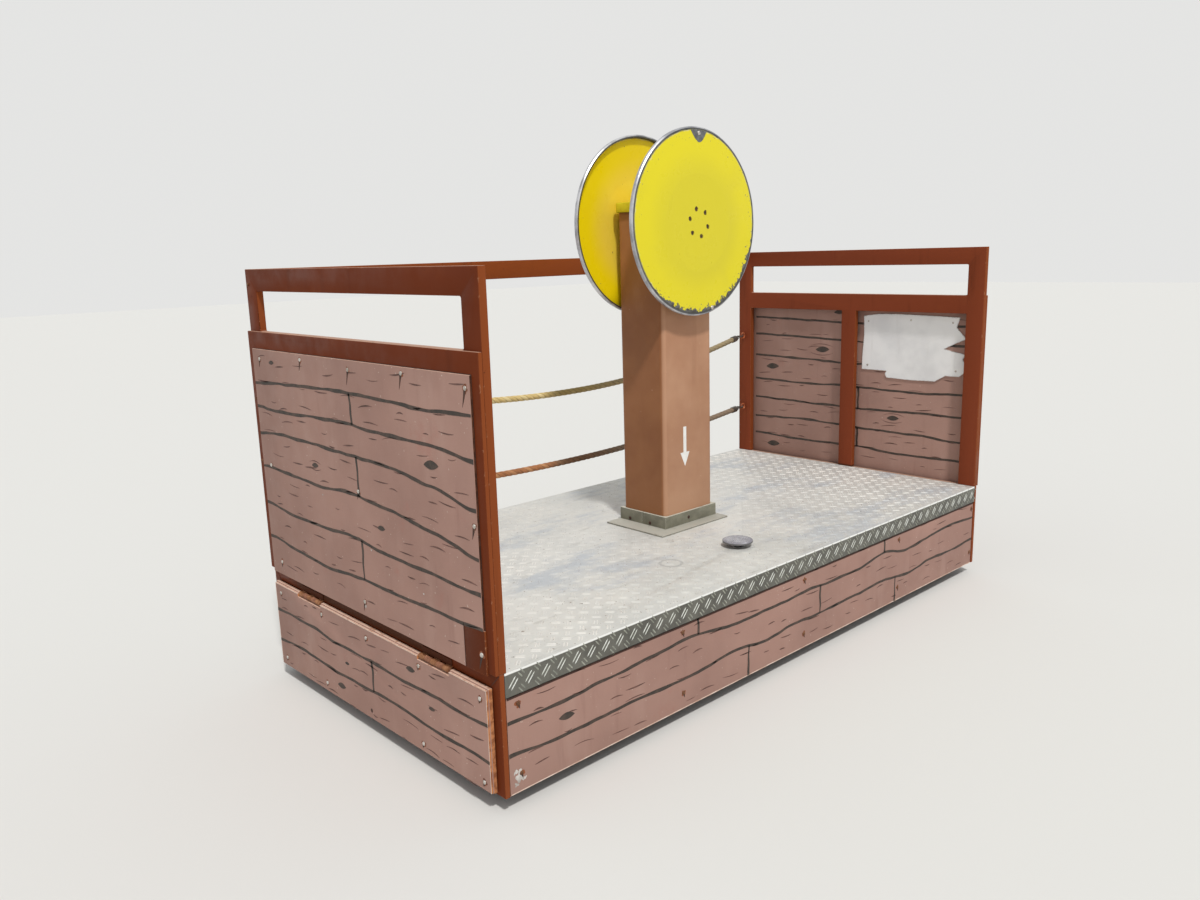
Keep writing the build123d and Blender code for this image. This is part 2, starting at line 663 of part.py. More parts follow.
def flange_bearing(x, z, y_face, side, shaft_radius):
    """A bearing plate with a round boss, bolted to a face that looks along side."""
    plate_y = sorted((y_face, y_face + side * BEARING_PLATE))
    boss_end = y_face + side * BEARING_BOSS
    plate = lane(Pos(x, z) * RectangleRounded(BEARING_LENGTH, BEARING_HEIGHT, BEARING_CORNER), *plate_y)
    boss = rod((x, y_face, z), (x, boss_end, z), BEARING_BOSS_RADIUS)
    bore = rod((x, y_face - side * CUT, z), (x, boss_end + side * CUT, z), shaft_radius + SHAFT_FIT)
    return plate + boss - bore


def make_bearings():
    """Flange bearings of the counter shaft, on the main beams, and of the hand shaft: one on the
    column's near face and one behind its far wall, which the far disc comes close to."""
    web = BEAM_OUTER_Y - BEAM_WALL
    near_face = COLUMN_Y - COLUMN_WIDTH / 2
    far_inside = COLUMN_Y + COLUMN_WIDTH / 2 - COLUMN_WALL
    bearings = [
        flange_bearing(COLUMN_X, DISC_AXIS_Z, near_face, -1, HAND_SHAFT_RADIUS),
        flange_bearing(COLUMN_X, DISC_AXIS_Z, far_inside, -1, HAND_SHAFT_RADIUS),
    ]
    for side in (-1, 1):
        bearings.append(flange_bearing(COLUMN_X, COUNTER_Z, side * web, -side, COUNTER_RADIUS))
    nodes["shaft_bearings"] = apart(bearings)


def pitch_radius(teeth):
    return CHAIN_PITCH / (2 * math.sin(math.pi / teeth))


def sprocket(centre, y, teeth, bore):
    """A toothed disc with a hub, its first tooth at the top; centre is x and z."""
    x, z = centre
    radius = pitch_radius(teeth)
    step = 2 * math.pi / teeth
    outline = []
    # Each tooth: share of the pitch from the tooth's middle, and height over the pitch circle
    tooth = ((-0.30, -TOOTH_FALL), (-0.10, TOOTH_RISE), (0.10, TOOTH_RISE), (0.30, -TOOTH_FALL))
    for i in range(teeth):
        middle = math.pi / 2 + i * step
        for share, rise in tooth:
            angle = middle + share * step
            outline.append(((radius + rise) * math.cos(angle), (radius + rise) * math.sin(angle)))
    face = Pos(x, z) * Polygon(*outline, align=None)
    plate = lane(face, y - SPROCKET_WIDTH / 2, y + SPROCKET_WIDTH / 2)
    half = SPROCKET_HUB_WIDTH / 2
    hub = rod((x, y - half, z), (x, y + half, z), SPROCKET_HUB_RADIUS)
    hole = rod((x, y - half - CUT, z), (x, y + half + CUT, z), bore + SHAFT_FIT)
    return plate + hub - hole


def chain_runs(first, teeth1, second, teeth2):
    """The two straight runs between a pair of sprockets, each as start, stop and outward angle."""
    r1, r2 = pitch_radius(teeth1), pitch_radius(teeth2)
    (x1, z1), (x2, z2) = first, second
    distance = math.hypot(x2 - x1, z2 - z1)
    heading = math.atan2(z2 - z1, x2 - x1)
    spread = math.acos((r1 - r2) / distance)
    runs = []
    for turn in (-1, 1):
        angle = heading + turn * spread
        on_first = (x1 + r1 * math.cos(angle), z1 + r1 * math.sin(angle))
        on_second = (x2 + r2 * math.cos(angle), z2 + r2 * math.sin(angle))
        runs.append((on_first, on_second, angle))
    return runs


def plate_edge(start, stop, angle, rise):
    """One edge of a run's side plates: out by rise at each pin and drawn in between the pins."""
    steps = 2 * round(math.dist(start, stop) / CHAIN_PITCH)
    edge = []
    for i in range(steps + 1):
        out = rise * (CHAIN_WAIST if i % 2 else 1)
        x = start[0] + (stop[0] - start[0]) * i / steps + out * math.cos(angle)
        z = start[1] + (stop[1] - start[1]) * i / steps + out * math.sin(angle)
        edge.append((x, z))
    return edge


def wrap_edge(centre, radius, angle, sweep, rise):
    """The same edge where the chain lies round a sprocket, one chord a link."""
    steps = round(sweep * radius / CHAIN_PITCH)
    turns = [angle + sweep * i / steps for i in range(1, steps)]
    reach = radius + rise
    return [(centre[0] + reach * math.cos(a), centre[1] + reach * math.sin(a)) for a in turns]


def chain(first, teeth1, second, teeth2, y):
    """A roller chain in place: side plates with a waist in each link, joined by rollers on the free runs."""
    (out_start, out_stop, out_angle), (back_stop, back_start, back_angle) = chain_runs(
        first, teeth1, second, teeth2
    )
    round_second = back_angle - out_angle
    round_first = 2 * math.pi - round_second
    faces = []
    for rise in (CHAIN_HEIGHT / 2, -CHAIN_HEIGHT / 2):
        outline = plate_edge(out_start, out_stop, out_angle, rise)
        outline += wrap_edge(second, pitch_radius(teeth2), out_angle, round_second, rise)
        outline += plate_edge(back_start, back_stop, back_angle, rise)
        outline += wrap_edge(first, pitch_radius(teeth1), back_angle, round_first, rise)
        faces.append(Polygon(*outline, align=None))
    ring = faces[0] - faces[1]
    inside = CHAIN_INSIDE / 2
    pieces = []
    for side in (-1, 1):
        low = y + min(side * inside, side * (inside + CHAIN_PLATE))
        pieces.append(lane(ring, low, low + CHAIN_PLATE))
    for start, stop in ((out_start, out_stop), (back_start, back_stop)):
        links = round(math.dist(start, stop) / CHAIN_PITCH)
        for i in range(2, links - 1, ROLLER_EVERY):
            x = start[0] + (stop[0] - start[0]) * i / links
            z = start[1] + (stop[1] - start[1]) * i / links
            roller = Pos(x, z) * RegularPolygon(ROLLER_RADIUS, ROLLER_SIDES)
            pieces.append(lane(roller, y - inside, y + inside))
    return join(pieces)


def make_drive():
    top = (COLUMN_X, DISC_AXIS_Z)
    counter = (COLUMN_X, COUNTER_Z)
    axle = (DRIVE_AXLE_X, AXLE_Z)
    nodes["hand_sprocket"] = sprocket(top, DRIVE_Y, COLUMN_CHAIN_TEETH, HAND_SHAFT_RADIUS)
    half = BEAM_OUTER_Y - BEAM_WALL - COUNTER_SHAFT_END
    nodes["counter_shaft"] = rod((COLUMN_X, -half, COUNTER_Z), (COLUMN_X, half, COUNTER_Z), COUNTER_RADIUS)
    counter_sprockets = [
        sprocket(counter, DRIVE_Y, COLUMN_CHAIN_TEETH, COUNTER_RADIUS),
        sprocket(counter, AXLE_CHAIN_Y, COUNTER_TEETH, COUNTER_RADIUS),
    ]
    nodes["counter_sprockets"] = apart(counter_sprockets)
    nodes["axle_sprocket"] = sprocket(axle, AXLE_CHAIN_Y, AXLE_TEETH, AXLE_RADIUS)
    nodes["column_chain"] = chain(counter, COLUMN_CHAIN_TEETH, top, COLUMN_CHAIN_TEETH, DRIVE_Y)
    nodes["axle_chain"] = chain(axle, AXLE_TEETH, counter, COUNTER_TEETH, AXLE_CHAIN_Y)


def wheel(x, side):
    """A flanged rail wheel with a coned tread, turned about the axle."""
    flange_out = GAUGE / 2 - GAUGE_PLAY
    flange_back = flange_out - FLANGE_WIDTH
    rim_end = flange_out + TREAD_WIDTH
    rim_inner = TREAD_RADIUS - RIM_THICKNESS
    web = flange_out + TREAD_WIDTH / 3
    web_back = web - WEB_THICKNESS / 2
    web_front = web + WEB_THICKNESS / 2
    hub_end = rim_end + WHEEL_HUB_PROUD
    hub_start = hub_end - WHEEL_HUB_LENGTH
    bore = AXLE_RADIUS + SHAFT_FIT
    points = [
        (hub_start, bore),
        (hub_start, WHEEL_HUB_RADIUS),
        (web_back, WHEEL_HUB_RADIUS + WHEEL_DRAFT),
        (web_back, rim_inner - WHEEL_DRAFT),
        (flange_back, rim_inner),
        (flange_back, FLANGE_RADIUS - FLANGE_TIP_IN),
        (flange_back + FLANGE_TIP_IN, FLANGE_RADIUS),
        (flange_out - FLANGE_TIP_OUT, FLANGE_RADIUS),
        (flange_out, TREAD_RADIUS + FLANGE_ROOT),
        (flange_out + FLANGE_ROOT, TREAD_RADIUS),
        (rim_end, TREAD_RADIUS - TREAD_FALL),
        (rim_end, rim_inner),
        (web_front, rim_inner - WHEEL_DRAFT),
        (web_front, WHEEL_HUB_RADIUS + WHEEL_DRAFT),
        (hub_end, WHEEL_HUB_RADIUS),
        (hub_end, bore),
    ]
    return turned([(side * y, r) for y, r in points], x, AXLE_Z)


def axle_box(x, side):
    """A bearing pedestal that hangs from a main beam and carries the axle."""
    foot = BEAM_BOTTOM - PEDESTAL_FOOT
    outline = Polygon(
        (-PEDESTAL_HALF, BEAM_BOTTOM),
        (-PEDESTAL_HALF, foot),
        (-PEDESTAL_EYE, AXLE_Z),
        (PEDESTAL_EYE, AXLE_Z),
        (PEDESTAL_HALF, foot),
        (PEDESTAL_HALF, BEAM_BOTTOM),
        align=None,
    )
    face = outline + Pos(0, AXLE_Z) * Circle(PEDESTAL_EYE)
    face = face - Pos(0, AXLE_Z) * Circle(AXLE_RADIUS + SHAFT_FIT)
    inner = side * (BEAM_OUTER_Y - BEAM_FLANGE + PEDESTAL_EDGE)
    outer = side * (BEAM_OUTER_Y - PEDESTAL_EDGE)
    return lane(Pos(x, 0) * face, *sorted((inner, outer)))


def make_running_gear():
    for name, x in (("drive", DRIVE_AXLE_X), ("braked", BRAKED_AXLE_X)):
        half = AXLE_LENGTH / 2
        nodes[f"axle_{name}"] = rod((x, -half, AXLE_Z), (x, half, AXLE_Z), AXLE_RADIUS)
        nodes[f"wheels_{name}"] = apart([wheel(x, -1), wheel(x, 1)])
    boxes = [axle_box(x, side) for x in (DRIVE_AXLE_X, BRAKED_AXLE_X) for side in (-1, 1)]
    nodes["axle_boxes"] = apart(boxes)


def make_pedal():
    """Round crowned pad, turned about the pedal's stem."""
    low = DECK_TOP + PEDAL_LIFT
    top = low + PEDAL_THICKNESS
    outline = Polygon(
        (0, low),
        (PEDAL_RADIUS - PEDAL_FOOT_CHAMFER, low),
        (PEDAL_RADIUS, low + PEDAL_FOOT_CHAMFER),
        (PEDAL_RADIUS, top - PEDAL_EDGE_DROP),
        (PEDAL_RADIUS - PEDAL_SHOULDER, top - PEDAL_CROWN),
        (0, top),
        align=None,
    )
    plane = Plane(origin=(PEDAL_X, PEDAL_Y, 0), x_dir=(1, 0, 0), z_dir=(0, -1, 0))
    nodes["pedal_pad"] = revolve(plane * outline, Axis((PEDAL_X, PEDAL_Y, 0), (0, 0, 1)))


def slot_bar(a, b, half_width):
    """A flat bar with round ends between two points, as a face in X and Z."""
    (x1, z1), (x2, z2) = a, b
    angle = math.degrees(math.atan2(z2 - z1, x2 - x1))
    length = math.hypot(x2 - x1, z2 - z1)
    return Pos((x1 + x2) / 2, (z1 + z2) / 2) * (Rot(0, 0, angle) * SlotCenterToCenter(length, 2 * half_width))


def brake_shoe(middle, beam):
    """A curved block behind the tread, with the lug that holds it to the brake beam."""
    inner = TREAD_RADIUS + SHOE_GAP
    outer = inner + SHOE_THICKNESS
    reach = 2 * outer
    rise = reach * math.tan(math.radians(SHOE_ANGLE / 2))
    wedge = Polygon((0, 0), (-reach, -rise), (-reach, rise), align=None)
    face = Pos(BRAKED_AXLE_X, AXLE_Z) * ((Circle(outer) - Circle(inner)) & wedge)
    shoe = lane(face, middle - SHOE_WIDTH / 2, middle + SHOE_WIDTH / 2)
    lug_x = (BRAKE_BEAM_X, BRAKED_AXLE_X - outer + SHOE_LUG_SINK)
    lug_y = (middle - SHOE_LUG / 2, middle + SHOE_LUG / 2)
    lug_z = (AXLE_Z - BRAKE_BEAM_RADIUS, AXLE_Z + BRAKE_BEAM_RADIUS)
    return shoe + (block(lug_x, lug_y, lug_z) - beam)


def brake_hanger(side, beam):
    """A flat bar that hangs the brake beam from the web of a main beam."""
    pin = (BRAKE_BEAM_X, BEAM_BOTTOM + BEAM_HEIGHT / 2)
    bar = slot_bar((BRAKE_BEAM_X, AXLE_Z), pin, HANGER_WIDTH / 2)
    return lane(bar, *sorted((side * BEAM_OUTER_Y, side * (BEAM_OUTER_Y + HANGER_THICKNESS)))) - beam


def make_brake():
    """Pedal lever with its stem, pull rod, brake beam with shoes, hangers and return spring."""
    half = BRAKE_LEVER_THICKNESS / 2
    arms = slot_bar((PEDAL_X, BRAKE_PIVOT[1]), BRAKE_PIVOT, BRAKE_ARM)
    arms = arms + slot_bar(BRAKE_PIVOT, BRAKE_ROD_END, BRAKE_ARM)
    lever = lane(arms, PEDAL_Y - half, PEDAL_Y + half)
    pivot_start = (BRAKE_PIVOT[0], PEDAL_Y + half, BRAKE_PIVOT[1])
    pivot = rod(pivot_start, (BRAKE_PIVOT[0], -BEAM_OUTER_Y, BRAKE_PIVOT[1]), BRAKE_ARM)
    stem_top = (PEDAL_X, PEDAL_Y, DECK_TOP + PEDAL_LIFT)
    stem = rod((PEDAL_X, PEDAL_Y, BRAKE_PIVOT[1]), stem_top, PEDAL_STEM_RADIUS)
    nodes["brake_lever"] = lever + pivot + stem

    beam_half = WHEEL_MIDDLE + SHOE_WIDTH / 2
    beam = rod((BRAKE_BEAM_X, -beam_half, AXLE_Z), (BRAKE_BEAM_X, beam_half, AXLE_Z), BRAKE_BEAM_RADIUS)
    nodes["brake_beam"] = beam
    nodes["brake_shoes"] = apart([brake_shoe(side * WHEEL_MIDDLE, beam) for side in (-1, 1)])
    hangers = [brake_hanger(side, beam) for side in (-1, 1)]
    rod_y = PEDAL_Y - half - BRAKE_ROD_RADIUS
    pull = rod((BRAKE_ROD_END[0], rod_y, BRAKE_ROD_END[1]), (BRAKE_BEAM_X, rod_y, AXLE_Z), BRAKE_ROD_RADIUS)
    spring, bracket, collar = return_spring(rod_y)
    nodes["brake_rod"] = (pull - beam) + collar
    nodes["brake_spring"] = spring
    nodes["brake_brackets"] = apart(hangers + [bracket])


def return_spring(y):
    """Coil round the pull rod, the bracket it stands on, and the rod's collar that it pushes on."""
    start = Vector(BRAKE_ROD_END[0], y, BRAKE_ROD_END[1])
    stop = Vector(BRAKE_BEAM_X, y, AXLE_Z)
    away = (stop - start).normalized()
    frame = Plane(origin=start, x_dir=(0, 1, 0), z_dir=away)
    low = BRACKET_FROM_LEVER + BRACKET_THICKNESS
    coil = Helix(SPRING_LENGTH / SPRING_TURNS, SPRING_LENGTH - 2 * SPRING_WIRE, SPRING_RADIUS)
    section = Plane(origin=coil @ 0, z_dir=coil % 0) * RegularPolygon(SPRING_WIRE, WIRE_SIDES)
    spring = sweep(section, coil)
    spring = frame * (Pos(0, 0, low + SPRING_WIRE) * spring)
    collar = extrude(Circle(SPRING_RADIUS + SPRING_WIRE), BRACKET_THICKNESS)

    bracket_x = start.X + away.X * BRACKET_FROM_LEVER
    rod_z = start.Z + away.Z * BRACKET_FROM_LEVER
    foot = BEAM_OUTER_Y
    reach = -y + BRACKET_EDGE
    outline = Polygon(
        (-foot, CROSS_BOTTOM - BEAM_WALL),
        (-foot, BEAM_BOTTOM + BEAM_WALL),
        (y, rod_z - BRACKET_EDGE),
        (-reach, rod_z - BRACKET_EDGE),
        (-reach, rod_z + BRACKET_EDGE),
        (-foot - BRACKET_EDGE, CROSS_BOTTOM - BEAM_WALL),
        align=None,
    )
    face = outline - Pos(y, rod_z) * Circle(BRAKE_ROD_RADIUS + BRACKET_HOLE_PLAY)
    plane = Plane(origin=(bracket_x, 0, 0), x_dir=(0, 1, 0), z_dir=(1, 0, 0))
    bracket = extrude(plane * face, BRACKET_THICKNESS)
    return spring, bracket, frame * (Pos(0, 0, low + SPRING_LENGTH) * collar)


def make_far_side():
    depth = (HALF_WIDTH - FAR_RAIL_DEPTH, HALF_WIDTH)
    half = HALF_LENGTH - FRAME_DEPTH
    nodes["far_rail"] = block((-half, half), depth, (WINDOW_TOP, FRAME_TOP))


def rope_path(route):
    """Straight runs joined by the largest tangent arcs that the runs allow."""
    points = [Vector(x, ROPE_Y, z) for x, z in route]
    radii = []
    for before, corner, after in zip(points, points[1:], points[2:]):
        turn = math.radians((corner - before).get_angle(after - corner))
        shorter = min((corner - before).length, (after - corner).length)
        radii.append(ROPE_BEND * shorter / math.tan(turn / 2))
    print("rope radii", [round(r) for r in radii])
    return FilletPolyline(*points, radius=radii)


def rope_fitting(end, away):
    """Ferrule with a tongue, and the link that hooks it to the eye on the post; away points at the post."""
    side = 1 if away.X > 0 else -1
    frame = Plane(origin=end, x_dir=(0, 1, 0), z_dir=away)
    outer = ROPE_RADIUS + SHAFT_FIT + FERRULE_WALL
    wall = Circle(outer) - Circle(ROPE_RADIUS + SHAFT_FIT)
    sleeve = Pos(0, 0, -FERRULE_LENGTH) * extrude(wall, FERRULE_LENGTH)
    cap = extrude(Circle(outer), FERRULE_CAP)
    half = TONGUE_THICKNESS / 2
    tongue = extrude(Rectangle(TONGUE_THICKNESS, TONGUE_WIDTH), FERRULE_CAP + TONGUE_LENGTH)
    hole_at = FERRULE_CAP + TONGUE_LENGTH / 2
    bore = extrude(Circle(LINK_WIRE + LINK_PLAY), TONGUE_THICKNESS + 2 * CUT)
    hole = Pos(-half - CUT, 0, hole_at) * (Rot(0, 90, 0) * bore)
    ferrule = sleeve + cap + (tongue - hole)

    post_x = side * (HALF_LENGTH - FRAME_DEPTH)
    hook_x = post_x - side * (2 * ROPE_EYE_RADIUS + EYE_WIRE)
    reach = abs(hook_x - end.X) / abs(away.X)
    far_arc = reach + EYE_WIRE + LINK_WIRE + LINK_PLAY
    straight = far_arc - hole_at - 2 * LINK_HALF_WIDTH
    middle = (far_arc + hole_at) / 2
    loop = Plane.XZ * (Rot(0, 0, 90) * SlotOverall(straight + 2 * LINK_HALF_WIDTH, 2 * LINK_HALF_WIDTH))
    path = loop.wire()
    section = Plane(origin=path @ 0, z_dir=path % 0) * RegularPolygon(LINK_WIRE, WIRE_SIDES)
    link = Pos(0, 0, middle) * sweep(section, path)

    eye_z = end.Z + away.Z * reach
    ring_plane = Plane(origin=(hook_x + side * ROPE_EYE_RADIUS, ROPE_Y, eye_z), z_dir=(0, 1, 0))
    wire = Plane.XZ * (Pos(ROPE_EYE_RADIUS, 0) * RegularPolygon(EYE_WIRE, WIRE_SIDES))
    eye = ring_plane * revolve(wire, Axis.Z)
    return frame * ferrule, frame * link, eye


def make_ropes():
    """Two barrier ropes that hang between the far posts, with their end fittings and eyes."""
    fittings = []
    eyes = []
    for name, route in (("upper", UPPER_ROPE), ("lower", LOWER_ROPE)):
        path = rope_path(route)
        start = Plane(origin=path @ 0, z_dir=path % 0)
        tube = sweep(start * Circle(ROPE_RADIUS), path)
        nodes[f"rope_{name}"] = tube
        ratio = tube.volume / (math.pi * ROPE_RADIUS**2 * path.length)
        print("rope", name, "length", round(path.length), "volume ratio", round(ratio, 4))
        for end, away in ((path @ 0, -(path % 0)), (path @ 1, path % 1)):
            ferrule, link, eye = rope_fitting(end, away)
            fittings += [ferrule, link]
            eyes.append(eye)
    nodes["rope_fittings"] = apart(fittings)
    nodes["rope_eyes"] = apart(eyes)


make_deck()
make_skirt()
make_underframe()
for end_name, end_side in ENDS:
    make_end(end_name, end_side)
make_flaps()
make_column()
make_discs()
make_bearings()
make_drive()
make_running_gear()
make_pedal()
make_brake()
make_far_side()
make_ropes()

os.makedirs("parts", exist_ok=True)
for name, shape in nodes.items():
    export_step(shape, f"parts/{name}.step")
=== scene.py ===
import math
import random
from collections import namedtuple
from functools import partialmethod

import bmesh
import bpy
from mathutils import Matrix, Vector, noise


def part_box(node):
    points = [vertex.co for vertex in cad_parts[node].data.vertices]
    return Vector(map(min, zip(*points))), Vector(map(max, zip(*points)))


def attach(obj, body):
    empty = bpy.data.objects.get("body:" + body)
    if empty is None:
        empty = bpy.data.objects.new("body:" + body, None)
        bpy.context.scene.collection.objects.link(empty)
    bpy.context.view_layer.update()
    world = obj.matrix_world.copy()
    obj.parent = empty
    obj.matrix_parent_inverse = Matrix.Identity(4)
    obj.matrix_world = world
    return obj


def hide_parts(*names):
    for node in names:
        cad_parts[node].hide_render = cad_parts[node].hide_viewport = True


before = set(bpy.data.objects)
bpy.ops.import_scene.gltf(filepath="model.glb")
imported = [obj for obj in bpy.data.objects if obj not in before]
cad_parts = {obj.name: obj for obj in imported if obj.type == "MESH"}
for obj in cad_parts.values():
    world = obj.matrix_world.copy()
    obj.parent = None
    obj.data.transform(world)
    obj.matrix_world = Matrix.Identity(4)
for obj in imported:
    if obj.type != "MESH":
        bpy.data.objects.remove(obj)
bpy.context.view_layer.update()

# Looks of a park railway handcar. Metres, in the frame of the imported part: X along the track,
# Y across it (negative is the entry side), Z up from the bottom of the wheel flanges.

# Camera, as the photograph was taken
CAMERA_PLACE = (-2.521, -2.368, 1.378)
CAMERA_HEADING = 47.07
CAMERA_TILT = -11.76
CAMERA_ROLL = -1.65
CAMERA_LENS = 28.48
CAMERA_SENSOR = 36.0

# Directions of the car, its ends and its sides
AHEAD = Vector((1, 0, 0))
ACROSS = Vector((0, 1, 0))
UP = Vector((0, 0, 1))
ENDS = (("left", -1), ("right", 1))
SIDES = (("near", -1), ("far", 1))


def middle(node):
    """The middle of a node's box."""
    low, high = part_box(node)
    return (low + high) / 2


# Main places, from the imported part
DECK_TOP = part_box("deck_plate")[1].z
HALF_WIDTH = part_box("deck_plate")[1].y
DISC_AXIS = middle("hand_shaft")
DISC_RADIUS = (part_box("disc_rims")[1].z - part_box("disc_rims")[0].z) / 2

# Softened edges of sheet, tube and board
TUBE_EDGE = 0.0022
DECK_EDGE = 0.0028
CAP_EDGE = 0.0030
THIN_EDGE = 0.0008
BOARD_EDGE = 0.0010
PLATE_EDGE = 0.0012
EDGE_STEPS = 2
WELD = 1e-5
FLAT_ANGLE = math.radians(0.4)
SHARP_ANGLE = math.radians(28)


def srgb(red, green, blue):
    """A colour of 0 to 255 screen values, as linear RGBA."""
    linear = [((c / 255 + 0.055) / 1.055) ** 2.4 for c in (red, green, blue)]
    return (*linear, 1.0)


def put(thing, **settings):
    """Sets a thing's properties and gives it back."""
    for name, value in settings.items():
        setattr(thing, name, value)
    return thing


class Nodes:
    """Short calls that build the nodes of a material or world. Colours are given as screen values."""

    def __init__(self, owner):
        owner.use_nodes = True
        self.tree = owner.node_tree

    def add(self, kind, inputs=None, **settings):
        """A node with its settings, fed by name or number."""
        node = put(self.tree.nodes.new(kind), **settings)
        for name, value in (inputs or {}).items():
            self.feed(node, name, value)
        return node

    def feed(self, node, name, value):
        """Links an output to a node's input, or sets the input to a value."""
        socket = node.inputs[name]
        if isinstance(value, bpy.types.NodeSocket):
            self.tree.links.new(value, socket)
        elif socket.type == "RGBA" and len(value) == 3:
            socket.default_value = srgb(*value)
        else:
            socket.default_value = value

    def maths(self, operation, *values):
        """An arithmetic node over one or two values, or a row of them over more."""
        total = values[0]
        for value in values[1:] or (0.0,):
            total = self.add("ShaderNodeMath", {0: total, 1: value}, operation=operation).outputs[0]
        return total

    times = partialmethod(maths, "MULTIPLY")
    plus = partialmethod(maths, "ADD")
    minus = partialmethod(maths, "SUBTRACT")


class Finish(Nodes):
    """A material whose colour is built up layer on layer, as its tone."""

    def __init__(self, name, roughness=0.5, metallic=0.0, specular=0.5):
        self.material = bpy.data.materials.new(name)
        super().__init__(self.material)
        self.shader = self.tree.nodes["Principled BSDF"]
        for socket, value in (("Metallic", metallic), ("Roughness", roughness), ("Specular IOR Level", specular)):
            self.feed(self.shader, socket, value)
        self.place = self.add("ShaderNodeTexCoord").outputs["Object"]
        self.tone = None

    def noise(self, scale, detail=3.0, rough=0.55, stretch=(1, 1, 1), shift=0.0, place=None):
        """Cloudy noise; scale is in cells a metre, and stretch scales each axis."""
        mapping = self.add("ShaderNodeMapping", {
            "Vector": place or self.place, "Scale": [scale * s for s in stretch], "Location": (shift,) * 3,
        })
        values = {"Vector": mapping.outputs[0], "Scale": 1.0, "Detail": detail, "Roughness": rough}
        return self.add("ShaderNodeTexNoise", values).outputs[0]

    def band(self, value, low, high, start=0.0, end=1.0):
        """A smooth step from start at low to end at high."""
        values = {"Value": value, "From Min": low, "From Max": high, "To Min": start, "To Max": end}
        return self.add("ShaderNodeMapRange", values, interpolation_type="SMOOTHSTEP").outputs[0]

    def mix(self, share, first, second):
        return self.add("ShaderNodeMix", {0: share, 6: first, 7: second}, data_type="RGBA").outputs[2]

    def blend(self, base, tone, low, high, share, *noise, **more):
        """A tone over a base: none of it where cloudy noise is at low, a share of it at high."""
        return self.mix(self.band(self.noise(*noise, **more), low, high, 0.0, share), base, tone)

    def lay(self, share, tone):
        """Mixes a share of another tone into the colour so far."""
        self.tone = self.mix(share, self.tone, tone)

    def over(self, *blend, **more):
        """Blends another tone over the colour so far."""
        self.tone = self.blend(self.tone, *blend, **more)

    def wander(self, scale, low, high, detail=4.0, shift=0.0):
        """A roughness that wanders from low to high."""
        return self.band(self.noise(scale, detail, shift=shift), 0.3, 0.7, low, high)

    def axes(self):
        return self.add("ShaderNodeSeparateXYZ", {0: self.place}).outputs

    def away(self, places, centre):
        """Distance of two coordinates from a centre."""
        squares = [self.maths("POWER", self.minus(place, at), 2.0) for place, at in zip(places, centre)]
        return self.maths("SQRT", self.plus(*squares))

    def from_axis(self, centre):
        """Distance from an axle that runs along Y through centre."""
        x, _, z = self.axes()
        return self.away((x, z), (centre.x, centre.z))

    def facing(self, towards, low=0.5, high=0.95):
        """One on faces that look along a direction."""
        normal = self.add("ShaderNodeNewGeometry").outputs["Normal"]
        dot = self.add("ShaderNodeVectorMath", {0: normal, 1: towards}, operation="DOT_PRODUCT")
        return self.band(dot.outputs["Value"], low, high)

    def edges(self, radius):
        """One along sharp edges, none on open faces."""
        return self.facing(self.add("ShaderNodeBevel", {"Radius": radius}, samples=4).outputs[0], 0.995, 0.86)

    def done(self, height, distance, strength, rough=None):
        """The material, with its tone, the height of its bump and its roughness."""
        self.feed(self.shader, "Base Color", self.tone)
        if rough:
            self.feed(self.shader, "Roughness", rough)
        bump = self.add("ShaderNodeBump", {"Height": height, "Distance": distance, "Strength": strength})
        self.feed(self.shader, "Normal", bump.outputs[0])
        return self.material


def frame_paint(name, light, deep):
    """Red-brown satin paint on steel tube, with chips, runs and pits, and painted light: lighter on sunlit faces,
    a painted shadow under the end boards, and painted highlights with some bleaching and rubbing on tops and
    edges.
    """
    f = Finish(name, specular=0.05)
    x, y, z = f.axes()
    f.tone = f.mix(f.noise(3.0), light, deep)
    # Painted sunlight: faces that look towards the left end are lighter towards the right end of the car.
    f.lay(f.times(f.facing(-AHEAD), f.band(x, 0.2, 1.0, 0.0, 0.85)), (136, 67, 43))
    # Painted sunlight, with some sun fading: faces on the entry side, which look towards the sun, are lighter.
    f.lay(f.times(f.facing(-ACROSS), 0.55), (160, 86, 46))
    f.over((146, 82, 48), 0.56, 0.78, 0.18, 9.0, 5.0, shift=3.1)
    f.over((80, 38, 22), 0.56, 0.78, 0.35, 22.0, stretch=(1, 1, 0.10), shift=1.7)
    # Painted shadow under the end boards: a dark strip on the frame between a board's foot and the flap.
    upright = f.times(f.band(z, 0.338, 0.344), f.band(z, 0.390, 0.383))
    overhang_shadow = f.times(upright, f.band(y, -0.40, -0.27), f.band(y, 0.52, 0.42), 0.75)
    f.lay(overhang_shadow, (66, 42, 28))
    # Paler on faces that look up: painted highlight, with some sun bleaching.
    f.lay(f.times(f.facing(UP, 0.7, 0.95), 0.75), (206, 168, 146))
    # Lighter along edges: painted highlight, with some rubbing.
    f.lay(f.times(f.edges(0.0035), 0.45), (172, 104, 66))
    chips = f.times(f.edges(0.004), f.band(f.noise(60.0, 4.0, shift=5.0), 0.60, 0.66))
    f.lay(chips, (204, 158, 124))
    f.over((66, 34, 20), 0.755, 0.78, 1.0, 75.0, 2.0, shift=9.0)
    return f.done(f.noise(420.0, 2.0), 0.0004, 0.25, f.wander(14.0, 0.34, 0.56, shift=2.0))


